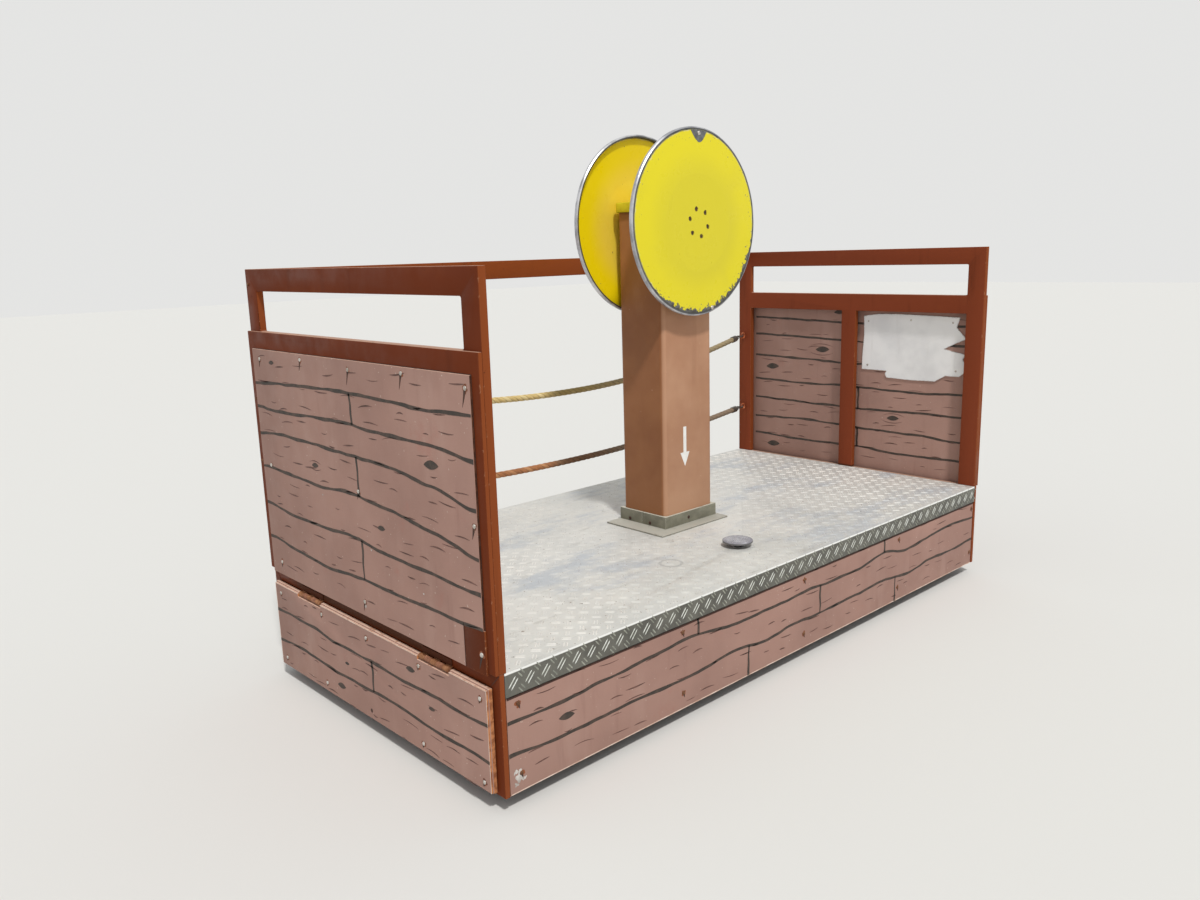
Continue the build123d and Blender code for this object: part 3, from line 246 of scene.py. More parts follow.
def board_paint(name, along, side_light, side_deep):
    """Chalky pink-brown paint on board, streaked by rain, with bare cut edges at its top and ends."""
    f = Finish(name, specular=0.12)
    f.tone = f.blend((174, 138, 126), (160, 126, 115), 0.35, 0.68, 1.0, 2.4, 4.0)
    f.over((188, 156, 144), 0.52, 0.78, 0.35, 9.0, 4.0, stretch=(1, 1, 0.25), shift=4.0)
    f.over((140, 102, 94), 0.58, 0.82, 0.35, 26.0, 4.0, stretch=(1, 1, 0.12), shift=8.0)
    f.over((172, 118, 106), 0.60, 0.74, 0.35, 6.5, 6.0, 0.7, shift=6.0)
    f.over((206, 186, 172), 0.765, 0.785, 0.8, 120.0, 1.0, shift=2.5)
    scuffs = f.times(f.edges(0.003), f.band(f.noise(40.0, 4.0, shift=7.0), 0.46, 0.62))
    f.lay(scuffs, (216, 176, 152))
    cut = f.blend((222, 186, 166), (182, 134, 108), 0.50, 0.70, 1.0, 38.0, 5.0, 0.65, shift=3.3)
    f.lay(f.facing(UP, 0.6, 0.9), cut)
    side = f.blend(side_light, side_deep, 0.40, 0.60, 1.0, 60.0, 4.0, shift=1.3)
    ends = f.maths("MAXIMUM", f.facing(along, 0.6, 0.9), f.facing(-along, 0.6, 0.9))
    f.lay(ends, side)
    return f.done(f.noise(260.0, 4.0, stretch=(1, 1, 0.5)), 0.0006, 0.35, f.wander(20.0, 0.58, 0.78, 3.0))


def brush_paint(name, dark, light):
    """Brushed line paint, thin where the brush ran dry."""
    f = Finish(name, 0.7)
    f.tone = f.blend(dark, light, 0.35, 0.68, 1.0, 26.0, 5.0, 0.65)
    return f.done(f.noise(300.0), 0.0004, 0.3)


# A round plug in the deck: its middle, as X and Y, and its radius
PLUG = (-0.344, -0.352)
PLUG_RADIUS = 0.036


def deck_metal(name, bars):
    """Aluminium tread plate: pale where feet polish it, clouded blue-grey, with a painted highlight along the top
    of each lip, and grey down the lips as painted reflection of dark surroundings with runs of dirt.
    """
    f = Finish(name, metallic=0.15, specular=0.35)
    x, y, z = f.axes()
    f.tone = f.blend((226, 225, 220), (214, 214, 210), 0.38, 0.66, 1.0, 4.0, 5.0, 0.62)
    if bars:
        raised = f.band(f.noise(1.9, 4.0, 0.6, shift=14.0), 0.40, 0.60, 0.35, 1.0)
        kept = f.band(f.maths("ABSOLUTE", f.minus(x, 0.05)), 0.30, 0.95, 0.12, 1.0)
        f.lay(f.times(raised, kept), (248, 246, 240))
    f.over((190, 196, 203), 0.50, 0.66, 0.75, 3.4, 5.0, 0.72, (0.45, 1, 1), 3.0)
    f.over((186, 184, 178), 0.56, 0.72, 0.45, 30.0, 5.0, 0.7, (0.22, 1, 1), 3.0)
    f.over((128, 106, 86), 0.690, 0.735, 0.8, 105.0, 2.0, shift=8.0)
    f.over((96, 84, 72), 0.730, 0.760, 0.85, 48.0, shift=11.0)
    gap = f.maths("ABSOLUTE", f.minus(f.away((x, y), PLUG), PLUG_RADIUS))
    f.lay(f.band(gap, 0.009, 0.001, 0.0, 0.55), (172, 172, 170))
    # A near-white band along the top of each lip: painted highlight on its folded edge.
    f.lay(f.band(z, DECK_TOP - 0.0002, DECK_TOP - 0.0014), (250, 250, 247))
    # Grey down the lips: painted reflection of dark surroundings, with darker runs of dirt.
    side = f.blend((114, 113, 105), (94, 93, 87), 0.35, 0.65, 1.0, 14.0, 4.0)
    side = f.blend(side, (88, 82, 72), 0.55, 0.75, 0.4, 60.0, 4.0, stretch=(1, 1, 0.15), shift=6.0)
    f.lay(f.band(z, DECK_TOP - 0.0052, DECK_TOP - 0.0066), side)
    return f.done(f.noise(240.0, 4.0, stretch=(0.4, 1, 1)), 0.0004, 0.25, f.wander(26.0, 0.42, 0.64))


# Where the flaked foot of a disc lies from its middle, as a direction in X and Z
BARE_FOOT = (0.32, -0.95)


def disc_paint(name, body, centre, dirt, bare):
    """Yellow gloss paint on a spun disc, with a painted shading tone on its flat middle, flaked to grey metal
    along its foot and thinly round its rim.
    """
    f = Finish(name, specular=0.25)
    x, _, z = f.axes()
    radius = f.from_axis(DISC_AXIS)
    reach = f.maths("DIVIDE", radius, DISC_RADIUS)
    # The flat middle is in another tone: painted shading of the dished face.
    f.tone = f.mix(f.band(reach, 0.82, 0.50), body, centre)
    f.over(dirt, 0.50, 0.75, 0.35, 6.0, 5.0)
    across = f.times(f.maths("DIVIDE", f.minus(x, DISC_AXIS.x), radius), BARE_FOOT[0])
    up = f.times(f.maths("DIVIDE", f.minus(z, DISC_AXIS.z), radius), BARE_FOOT[1])
    foot = f.times(f.band(f.plus(across, up), 0.34, 0.86), bare)
    depth = f.minus(radius, DISC_RADIUS * 0.972)
    width = f.plus(f.times(foot, 0.010), 0.001)
    uneven = f.minus(f.noise(34.0, 6.0, 0.68, shift=4.4), 0.5)
    ragged = f.times(uneven, f.plus(f.times(foot, 0.058), 0.022))
    flakes = f.band(f.plus(depth, width, ragged), 0.0, 0.0012)
    near = f.times(f.band(reach, 0.86, 0.97), foot)
    loose = f.plus(f.noise(105.0, 3.0, 0.6, shift=9.3), f.times(near, 0.175))
    flakes = f.maths("MAXIMUM", flakes, f.band(loose, 0.690, 0.702))
    flakes = f.times(flakes, f.band(reach, 0.86, 0.88))
    metal = f.blend((112, 112, 110), (76, 74, 70), 0.42, 0.62, 1.0, 80.0, 4.0)
    f.lay(flakes, f.blend(metal, (186, 182, 170), 0.66, 0.70, 1.0, 140.0, 2.0))
    thin = f.plus(depth, f.times(uneven, 0.030))
    f.lay(f.band(thin, -0.0050, -0.0035, 0.0, 0.6), (240, 232, 176))
    f.lay(flakes, metal)
    f.lay(f.band(reach, 0.955, 0.968, 0.0, 0.75), (72, 70, 62))
    f.over((112, 100, 52), 0.765, 0.78, 0.9, 70.0, 2.0, shift=1.2)
    rough = f.mix(flakes, f.wander(18.0, 0.24, 0.42), (0.5, 0.5, 0.5, 1.0))
    return f.done(f.minus(f.noise(30.0, 2.0), flakes), 0.0006, 0.3, rough)


def rim_metal():
    """Rolled rim of a disc: bright along its outer corner and dark where it meets the paint."""
    f = Finish("rim_metal", 0.36, 0.7)
    radius = f.from_axis(DISC_AXIS)
    f.tone = f.blend((212, 212, 216), (160, 161, 166), 0.35, 0.65, 1.0, 20.0, 5.0, 0.6)
    f.lay(f.band(radius, DISC_RADIUS - 0.0038, DISC_RADIUS - 0.0055, 0.0, 0.9), (72, 74, 76))
    f.over((112, 84, 62), 0.66, 0.74, 0.5, 46.0, 5.0, 0.7, shift=5.5)
    return f.done(f.noise(240.0, 4.0), 0.0004, 0.3)


def bare_metal(name, bright, dull, metallic=0.85, roughness=0.38, rust=0.25, scale=20.0):
    """Steel with scratches, grime and a share of rust."""
    f = Finish(name, metallic=metallic)
    f.tone = f.blend(bright, dull, 0.35, 0.65, 1.0, scale, 5.0, 0.6)
    if rust:
        f.over((120, 66, 36), 0.62, 0.74, rust * 2, scale * 1.7, 6.0, 0.7, shift=5.5)
    rough = f.wander(scale * 2, roughness - 0.08, roughness + 0.18, shift=1.0)
    return f.done(f.noise(scale * 12, 4.0), 0.0004, 0.3, rough)


def plate_steel(name, light, deep, top):
    """Dull galvanised plate, paler where it looks up, with patches of dirt and a painted highlight along its
    edges.
    """
    f = Finish(name, metallic=0.15, specular=0.3)
    f.tone = f.blend(light, deep, 0.38, 0.64, 1.0, 16.0, 5.0, 0.6)
    f.lay(f.facing(UP, 0.3, 0.8), top)
    f.over((112, 96, 76), 0.60, 0.74, 0.55, 34.0, 5.0, 0.7, shift=5.5)
    # A painted highlight along the edges.
    f.lay(f.times(f.edges(0.003), 0.6), (206, 204, 194))
    return f.done(f.noise(220.0, 4.0), 0.0004, 0.3, f.wander(40.0, 0.45, 0.65))


def rusted(name, bright, deep):
    """Steel that is rusted all over, rough and flaky."""
    f = Finish(name, 0.85, 0.1)
    f.tone = f.blend(bright, deep, 0.35, 0.65, 1.0, 45.0, 6.0, 0.7)
    f.over((206, 152, 118), 0.60, 0.72, 1.0, 110.0, shift=4.0)
    return f.done(f.noise(160.0, 6.0, 0.7), 0.0016, 0.8)


def hinge_paint():
    """Rusty knuckles under a leaf that is painted with the frame."""
    f = Finish("hinge_leaf", 0.7, 0.0, 0.1)
    _, _, z = f.axes()
    rust = f.blend((172, 122, 88), (130, 86, 60), 0.35, 0.65, 1.0, 45.0, 6.0, 0.7)
    painted = f.mix(f.noise(20.0, 4.0), (92, 48, 28), (74, 38, 23))
    edge = f.plus(z, f.times(f.noise(60.0), 0.004))
    f.tone = f.mix(f.band(edge, 0.3415, 0.3435), rust, painted)
    return f.done(f.noise(160.0, 6.0, 0.7), 0.0005, 0.4)


def column_paint():
    """Light brown paint on a rolled box tube, lighter on its sunny side as painted sunlight with some bleaching,
    and with a painted highlight along the rounded corner towards the entry side.
    """
    f = Finish("column_paint", specular=0.16)
    shade = f.band(f.noise(3.2, 4.0), 0.35, 0.66)
    # Shady and sunny tones: painted light and shade, with some sun bleaching on the entry side.
    shady, sunny = f.mix(shade, (164, 112, 76), (148, 98, 66)), f.mix(shade, (196, 151, 121), (180, 133, 104))
    f.tone = f.mix(f.facing(-ACROSS, 0.30, 0.90), shady, sunny)
    # A painted highlight along the rounded corner between the entry side and the left face.
    f.lay(f.times(f.facing((-0.6, -0.8, 0), 0.86, 0.99), 0.5), (200, 154, 124))
    f.over((134, 86, 58), 0.58, 0.80, 0.30, 16.0, 4.0, stretch=(1, 1, 0.07), shift=2.2)
    f.over((192, 146, 114), 0.56, 0.76, 0.30, 7.0, 5.0, stretch=(1, 1, 0.35), shift=7.0)
    f.over((210, 174, 148), 0.745, 0.765, 0.7, 85.0, 2.0, shift=3.0)
    return f.done(f.noise(380.0, 2.0), 0.0004, 0.2, f.wander(18.0, 0.36, 0.54))


def wheel_iron(name, axle):
    """Rusty cast wheel whose tread and flange are polished by the rail."""
    f = Finish(name)
    radius = f.from_axis(middle(axle))
    metallic, rough, tread = (
        f.band(radius, 0.1175, 0.1195, start, end) for start, end in ((0.1, 0.95), (0.85, 0.30), (0.0, 1.0))
    )
    rust = f.blend((98, 62, 44), (58, 42, 34), 0.35, 0.65, 1.0, 30.0, 6.0, 0.68)
    scratched = f.mix(f.noise(90.0, stretch=(1, 0.2, 1)), (178, 176, 172), (128, 124, 118))
    f.tone = f.mix(tread, rust, scratched)
    f.feed(f.shader, "Metallic", metallic)
    return f.done(f.noise(150.0, 5.0, 0.65), 0.001, 0.6, rough)


def pedal_rubber():
    """Grey-lilac rubber, darker on its sides as painted shade, and pale along its rim and the edges of its studs
    as painted highlight with some wear.
    """
    f = Finish("pedal_rubber", 0.55)
    f.tone = f.blend((178, 177, 184), (140, 138, 147), 0.4, 0.62, 1.0, 26.0, 4.0)
    # Painted shade: darker on faces that don't look up, the pad's sides.
    f.tone = f.mix(f.facing(UP, 0.3, 0.9), (104, 102, 104), f.tone)
    # Painted highlight, with some wear: pale along the rim and the studs' edges.
    f.lay(f.edges(0.002), (214, 213, 216))
    return f.done(f.noise(300.0, 4.0), 0.0005, 0.4)


def rope_fibre(name, bright, deep, stripe, shadow_tone):
    """Laid rope: fibres along each strand, one strand of another shade, a painted shadow from the middle of the
    car on, and greyer away from the left end.
    """
    f = Finish(name, 0.85)
    x, _, _ = f.axes()
    lay = f.add("ShaderNodeUVMap", uv_map="lay").outputs[0]
    marked, groove = (
        f.add("ShaderNodeAttribute", attribute_name=layer).outputs["Fac"] for layer in ("marked", "groove")
    )
    fibres = f.noise(1.0, 3.0, 0.5, (26, 30, 1), place=lay)
    f.tone = f.mix(f.band(fibres, 0.35, 0.65), bright, deep)
    f.lay(f.times(marked, 0.6), stripe)
    # Painted shadow of the discs and column on the rope, from the middle of the car on.
    f.lay(f.band(x, -0.10, 0.0, 0.0, 0.8), shadow_tone)
    f.lay(f.band(x, 0.1, 0.4, 0.0, 0.55), (148, 138, 122))
    f.over(deep, 0.48, 0.72, 0.4, 12.0, 5.0)
    # Darker in the grooves between strands: painted shade.
    f.lay(f.times(groove, 0.75), (74, 56, 38))
    return f.done(fibres, 0.0012, 0.8)


def sign_white():
    """White painted board with grey grime and worn corners."""
    f = Finish("sign_white", 0.55)
    f.tone = f.blend((246, 245, 245), (232, 231, 232), 0.40, 0.72, 1.0, 9.0, 5.0)
    f.over((190, 186, 180), 0.60, 0.82, 0.25, 30.0, 4.0, stretch=(1, 1, 0.12))
    edge = f.times(f.edges(0.006), f.band(f.noise(55.0, 4.0), 0.35, 0.6, 0.25, 1.0))
    f.lay(edge, (120, 112, 100))
    return f.done(f.noise(200.0), 0.0003, 0.2)


FINISHES = {
    "frame": frame_paint("frame_paint", (117, 54, 27), (99, 43, 20)),
    "patch": frame_paint("patch_paint", (100, 48, 26), (88, 41, 22)),
    # Dark brown lines: welded seams in the skirt corners, and painted shadow lines round the end boards, beside
    # the repair patch and under the deck lips.
    "seam": brush_paint("seam_shade", (54, 28, 18), (74, 38, 24)),
    # Pale lines: the bare sheet edge round the flaps, and a painted highlight along the foot of each side board.
    "worn_and_highlight_line": brush_paint("worn_and_highlight_line", (232, 212, 198), (204, 168, 146)),
    "chip": brush_paint("bare_chip", (214, 208, 202), (168, 158, 150)),
    # Dark brown: rust runs below screws that are partly painted shadows of the screw heads, painted shade in open
    # holes, and dark collar bolt heads.
    "stain": brush_paint("rust_stain_and_shade", (52, 34, 26), (86, 54, 40)),
    "bleed": brush_paint("rust_bleed", (150, 84, 44), (104, 60, 40)),
    "board": board_paint("plank_board", ACROSS, (204, 138, 92), (156, 98, 66)),
    # The end boards' cut sides are dark brown as painted shade, where they stand beside the frame posts.
    "end_board": board_paint("plank_board_end", ACROSS, (104, 66, 48), (72, 46, 36)),
    "side_board": board_paint("plank_board_side", AHEAD, (150, 100, 76), (112, 74, 56)),
    "line": brush_paint("line_paint", (54, 47, 41), (82, 66, 57)),
    "dash": brush_paint("dash_paint", (78, 52, 44), (120, 86, 76)),
    "plate": deck_metal("deck_aluminium", False),
    "tread": deck_metal("tread_bar", True),
    "lip_tread": bare_metal("lip_tread", (226, 228, 222), (196, 198, 188), 0.3, 0.36, 0.0, 60.0),
    "lip_dim": bare_metal("lip_dim", (176, 178, 166), (142, 144, 134), 0.3, 0.45, 0.0, 60.0),
    "disc_near": disc_paint("disc_paint", (238, 223, 40), (228, 214, 48), (222, 208, 54), 1.0),
    # The far disc is painted brighter than the near one: painted light, making up for the shade it stands in.
    "disc_far": disc_paint("disc_paint_far", (255, 228, 14), (255, 226, 78), (248, 212, 40), 0.0),
    "cap": brush_paint("cap_paint", (216, 200, 30), (232, 220, 44)),
    "rim": rim_metal(),
    "column": column_paint(),
    "zinc": bare_metal("zinc_steel", (152, 150, 142), (124, 122, 114), 0.5, 0.5, 0.2),
    "bare_patch": bare_metal("disc_bare_metal", (118, 120, 122), (92, 93, 95), 0.3, 0.45, 0.0, 60.0),
    "collar": plate_steel("collar_steel", (140, 138, 122), (120, 118, 104), (206, 204, 190)),
    "base": plate_steel("base_steel", (150, 147, 136), (130, 127, 117), (190, 187, 176)),
    "old_screw": bare_metal("old_screw_steel", (132, 92, 62), (84, 56, 40), 0.4, 0.6, 0.5, 60.0),
    "screw": bare_metal("screw_steel", (214, 210, 204), (162, 154, 144), 0.75, 0.34, 0.15, 60.0),
    "rust": rusted("rusty_steel", (166, 112, 84), (124, 78, 56)),
    "hinge": hinge_paint(),
    "eye": rusted("rusty_eye", (184, 98, 54), (140, 72, 44)),
    "under": bare_metal("underframe_paint", (64, 52, 46), (44, 38, 35), 0.1, 0.7, 0.45, 9.0),
    "shaft": bare_metal("shaft_steel", (140, 136, 130), (96, 88, 80), 0.9, 0.35, 0.3),
    "chain": bare_metal("chain_steel", (78, 74, 70), (46, 43, 40), 0.8, 0.42, 0.3, 40.0),
    "pedal": pedal_rubber(),
    "wheel_drive": wheel_iron("wheel_iron", "axle_drive"),
    "wheel_braked": wheel_iron("wheel_iron_braked", "axle_braked"),
    # The last colour of each rope is the tone of its painted shadow.
    "rope_pale": rope_fibre("rope_pale", (230, 206, 146), (202, 174, 112), (238, 220, 168), (158, 138, 88)),
    "rope_brown": rope_fibre("rope_brown", (190, 128, 84), (146, 96, 62), (204, 152, 108), (112, 86, 64)),
    "fitting": bare_metal("fitting_steel", (150, 150, 146), (112, 110, 104), 0.9, 0.35, 0.2),
    "sign": sign_white(),
    "arrow": brush_paint("arrow_paint", (246, 245, 242), (236, 234, 230)),
}


def add_object(name, data):
    """A new object in the scene."""
    made = bpy.data.objects.new(name, data)
    bpy.context.scene.collection.objects.link(made)
    return made


def add_mesh(name, shape, material, smooth=False):
    """A new mesh object from a bmesh."""
    mesh = bpy.data.meshes.new(name)
    shape.to_mesh(mesh)
    shape.free()
    mesh.materials.append(material)
    for polygon in mesh.polygons:
        polygon.use_smooth = smooth
    return add_object(name, mesh)


def piece(name, shape, finish, body="root", smooth=False):
    """A new piece from a bmesh, painted and riding on a body."""
    made = add_mesh(name, shape, FINISHES[finish], smooth)
    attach(made, body)
    return made


def soften(made, width):
    """Rounds the sharp edges of a piece."""
    put(
        made.modifiers.new("edges", "BEVEL"), width=width, segments=EDGE_STEPS, limit_method="ANGLE",
        angle_limit=SHARP_ANGLE, use_clamp_overlap=False, harden_normals=True,
    )


def dress(node, finish, body="root", width=TUBE_EDGE, moved=None):
    """A softened copy of a CAD node that stands for it; moved gives a point's new place."""
    shape = bmesh.new()
    shape.from_mesh(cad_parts[node].data)
    for layer in list(shape.loops.layers.uv):
        shape.loops.layers.uv.remove(layer)
    bmesh.ops.remove_doubles(shape, verts=shape.verts, dist=WELD)
    bmesh.ops.dissolve_limit(shape, angle_limit=FLAT_ANGLE, verts=shape.verts, edges=shape.edges)
    if moved:
        for vert in shape.verts:
            vert.co = moved(vert.co)
    made = piece(f"{node}_body", shape, finish, body, smooth=True)
    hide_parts(node)
    soften(made, width)


class Face(namedtuple("Face", "origin across up out")):
    """A flat face to paint or screw on: two axes along it and one out of it."""

    def at(self, u, v, height=0.0):
        return self.origin + self.across * u + self.up * v + self.out * height

    def lifted(self, height):
        return self._replace(origin=self.origin + self.out * height)


def end_face(node, out):
    """The face of a node's box that looks along the track, where u is Y and v is Z."""
    return Face(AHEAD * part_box(node)[out > 0].x, ACROSS, UP, AHEAD * out)


def side_face(node, out):
    """The face of a node's box that looks across the track, where u is X and v is Z."""
    return Face(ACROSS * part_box(node)[out > 0].y, AHEAD, UP, ACROSS * out)


PAINT_RISE = 0.0004
PAINT_SINK = 0.0002


def drift(*place):
    """Smooth noise of three numbers, mostly from -1 to 1."""
    return noise.noise(Vector(place))


def circle(sides):
    """Directions evenly round a circle, as cosine and sine."""
    return [(math.cos(2 * math.pi * k / sides), math.sin(2 * math.pi * k / sides)) for k in range(sides)]


def around(u, v, radius, sides):
    """Points evenly round a circle."""
    return [(u + radius * cosine, v + radius * sine) for cosine, sine in circle(sides)]


def ring(shape, face, points, height):
    """Vertices over (u, v) points of a face, at one height."""
    return [shape.verts.new(face.at(u, v, height)) for u, v in points]


def fan(shape, rim, top):
    """Faces from a ring of vertices to one vertex."""
    for k in range(len(rim)):
        shape.faces.new((rim[k], rim[(k + 1) % len(rim)], top))


def skin(shape, rings, capped=True):
    """Faces from ring to ring of vertices, and over the first and the last ring."""
    quads = []
    for first, second in zip(rings, rings[1:]):
        for k in range(len(first)):
            n = (k + 1) % len(first)
            quads.append(shape.faces.new((first[k], first[n], second[n], second[k])))
    if capped:
        shape.faces.new(rings[0][::-1])
        shape.faces.new(rings[-1])
    return quads


def stroke(shape, face, line, half_widths, height=PAINT_RISE):
    """A raised band of paint along a line of (u, v) points."""
    rings = []
    for i, (u, v) in enumerate(line):
        before, after = line[max(i - 1, 0)], line[min(i + 1, len(line) - 1)]
        along = Vector((after[0] - before[0], after[1] - before[1])).normalized()
        left = Vector((-along.y, along.x)) * half_widths[i]
        rings.append([
            shape.verts.new(face.at(u + side * left.x, v + side * left.y, rise))
            for side, rise in ((1, -PAINT_SINK), (1, height), (-1, height), (-1, -PAINT_SINK))
        ])
    skin(shape, rings)


# Thin lines: half width, how far it wanders, and how fast it does along the line
FLAP_TOP_LINE = (0.0011, 0.0006, 30)
FLAP_SIDE_LINE = (0.0009, 0.0006, 40)
BOARD_FOOT_LINE = (0.0015, 0.0008, 12)
LIP_SHADE_LINE = (0.0034, 0.0010, 9)


def thin_line(shape, face, start, end, count, kind, seed):
    """A straight stroke whose width wanders by drift at the line's own coordinate."""
    half, spread, rate = kind
    line = [
        (start[0] + (end[0] - start[0]) * k / count, start[1] + (end[1] - start[1]) * k / count)
        for k in range(count + 1)
    ]
    run = int(start[0] == end[0])
    stroke(shape, face, line, [half + spread * drift(point[run] * rate, *seed) for point in line])


LENS_STEPS = 8
SHARP_TIP = 0.0002


def lens(shape, face, centre, length, half_height, angle=0.0, bend=0.0, height=PAINT_RISE):
    """A stroke that is pointed at both ends, for knots and short grain marks."""
    line, widths = [], []
    for i in range(LENS_STEPS + 1):
        share = i / LENS_STEPS
        along = (share - 0.5) * length
        rise = bend * (1 - (2 * share - 1) ** 2)
        u = centre[0] + along * math.cos(angle) - rise * math.sin(angle)
        v = centre[1] + along * math.sin(angle) + rise * math.cos(angle)
        line.append((u, v))
        widths.append(max(half_height * math.sin(math.pi * share) ** 0.8, SHARP_TIP))
    stroke(shape, face, line, widths, height)


def blot(shape, face, u, v, radius, seed, ragged=0.3, height=PAINT_RISE, sides=18):
    """A flat spot with a ragged outline."""
    points = []
    for cosine, sine in circle(sides):
        reach = radius * (1 + ragged * 2 * drift(cosine * 1.6, sine * 1.6, seed))
        points.append((u + reach * cosine, v + reach * sine))
    fan(shape, ring(shape, face, points, height), shape.verts.new(face.at(u, v, height)))


LINE_STEP = 0.014
LINE_HALF_WIDTH = 0.0046
LINE_SWAY = 0.005


def height_at(heights, share):
    """A smooth height between evenly spaced stations."""
    place = share * (len(heights) - 1)
    i = min(int(place), len(heights) - 2)
    t = place - i
    t = t * t * (3 - 2 * t)
    return heights[i] * (1 - t) + heights[i + 1] * t


def plank_line(shape, face, u0, u1, heights, seed):
    """A hand-painted plank edge across a board."""
    count = max(int(abs(u1 - u0) / LINE_STEP), 2)
    line, widths = [], []
    for i in range(count + 1):
        share = i / count
        u = u0 + (u1 - u0) * share
        sway = (drift(u * 7, seed, 0) + drift(u * 23, seed, 5) * 0.35) * LINE_SWAY
        line.append((u, height_at(heights, share) + sway))
        widths.append(LINE_HALF_WIDTH * (1 + 0.55 * drift(u * 11, seed, 9)))
    stroke(shape, face, line, widths)
    return line


def line_height(line, u):
    return min(line, key=lambda point: abs(point[0] - u))[1]


Planks = namedtuple("Planks", "u0 u1 foot top lines joints knots marks seed")

# Planks painted on one face: u from u0 to u1, foot and top, the heights of each painted edge at even
# stations, joints as (u, edge below, edge above) with -1 and -2 for the foot and top, knots as
# (u, v, size, ringed), the number of short grain marks, and a seed
END_OUTSIDE = Planks(
    -0.585, 0.585, 0.385, 1.109,
    (
        (0.491, 0.486, 0.483, 0.484, 0.472, 0.483, 0.496),
        (0.580, 0.584, 0.587, 0.603, 0.598, 0.596, 0.611),
        (0.668, 0.698, 0.720, 0.732, 0.723, 0.729, 0.733),
        (0.788, 0.820, 0.841, 0.844, 0.846, 0.852, 0.840),
        (0.908, 0.925, 0.925, 0.934, 0.930, 0.923, 0.928),
        (1.017, 1.012, 1.018, 1.020, 1.019, 1.012, 1.003),
    ),
    ((-0.018, 4, 5), (-0.030, 2, 3), (-0.024, 0, 1)),
    ((0.456, 1.073, 0.7, 0), (0.222, 0.783, 0.8, 1), (-0.404, 0.874, 1.3, 0), (-0.137, 0.659, 0.8, 0)),
    112, 11,
)
END_INSIDE = Planks(
    -0.540, 0.540, 0.385, 1.088,
    (
        (0.466, 0.462, 0.470, 0.466, 0.472),
        (0.548, 0.556, 0.560, 0.566, 0.556),
        (0.656, 0.652, 0.646, 0.650, 0.650),
        (0.748, 0.742, 0.745, 0.740, 0.745),
        (0.850, 0.858, 0.850, 0.856, 0.862),
        (0.955, 0.948, 0.952, 0.960, 0.964),
        (1.036, 1.030, 1.034, 1.040, 1.046),
    ),
    ((-0.041, 2, 3), (-0.041, 0, 1)),
    (
        (0.155, 0.905, 1.5, 1), (0.439, 0.809, 1.5, 0), (0.069, 1.080, 1.1, 0),
        (0.430, 0.425, 1.5, 0), (-0.217, 0.619, 1.2, 1),
    ),
    110, 23,
)
FLAP_OUTSIDE = Planks(
    -0.585, 0.585, 0.032, 0.330,
    (
        (0.139, 0.138, 0.137, 0.147, 0.143, 0.138, 0.136, 0.138, 0.142, 0.132),
        (0.239, 0.236, 0.238, 0.232, 0.236, 0.236, 0.234, 0.243, 0.242, 0.240),
    ),
    ((-0.025, 0, 1),),
    ((-0.238, 0.280, 0.9, 0), (0.173, 0.096, 1.0, 0), (0.126, 0.184, 0.5, 0), (-0.333, 0.196, 0.6, 0)),
    56, 37,
)
SIDE_OUTSIDE = Planks(
    -1.231, 1.231, 0.047, 0.338,
    (
        (0.151, 0.142, 0.144, 0.142, 0.138, 0.153, 0.137, 0.147, 0.143, 0.147, 0.150, 0.134, 0.149, 0.144, 0.150),
        (0.240, 0.238, 0.245, 0.254, 0.263, 0.238, 0.240, 0.244, 0.240, 0.240, 0.259, 0.233, 0.245, 0.256, 0.243),
    ),
    ((-0.516, 1, -2), (0.533, 1, -2), (0.118, 0, 1), (-0.274, -1, 0), (0.615, -1, 0)),
    ((-1.038, 0.192, 1.1, 0),),
    92, 53,
)
KNOT_LENGTH = 0.050
KNOT_HALF_HEIGHT = 0.009
KNOT_RISE = 0.0006

# Short grain marks: their length, half width, slope and bend, each from least to most
GRAIN = ((0.024, 0.078), (0.0008, 0.0024), (-0.14, 0.08), (-0.003, 0.004))
GRAIN_MARGIN_U = 0.025
GRAIN_MARGIN_V = 0.010
JOINT_SWAY = (0.0, 0.002, -0.001, 0.002)


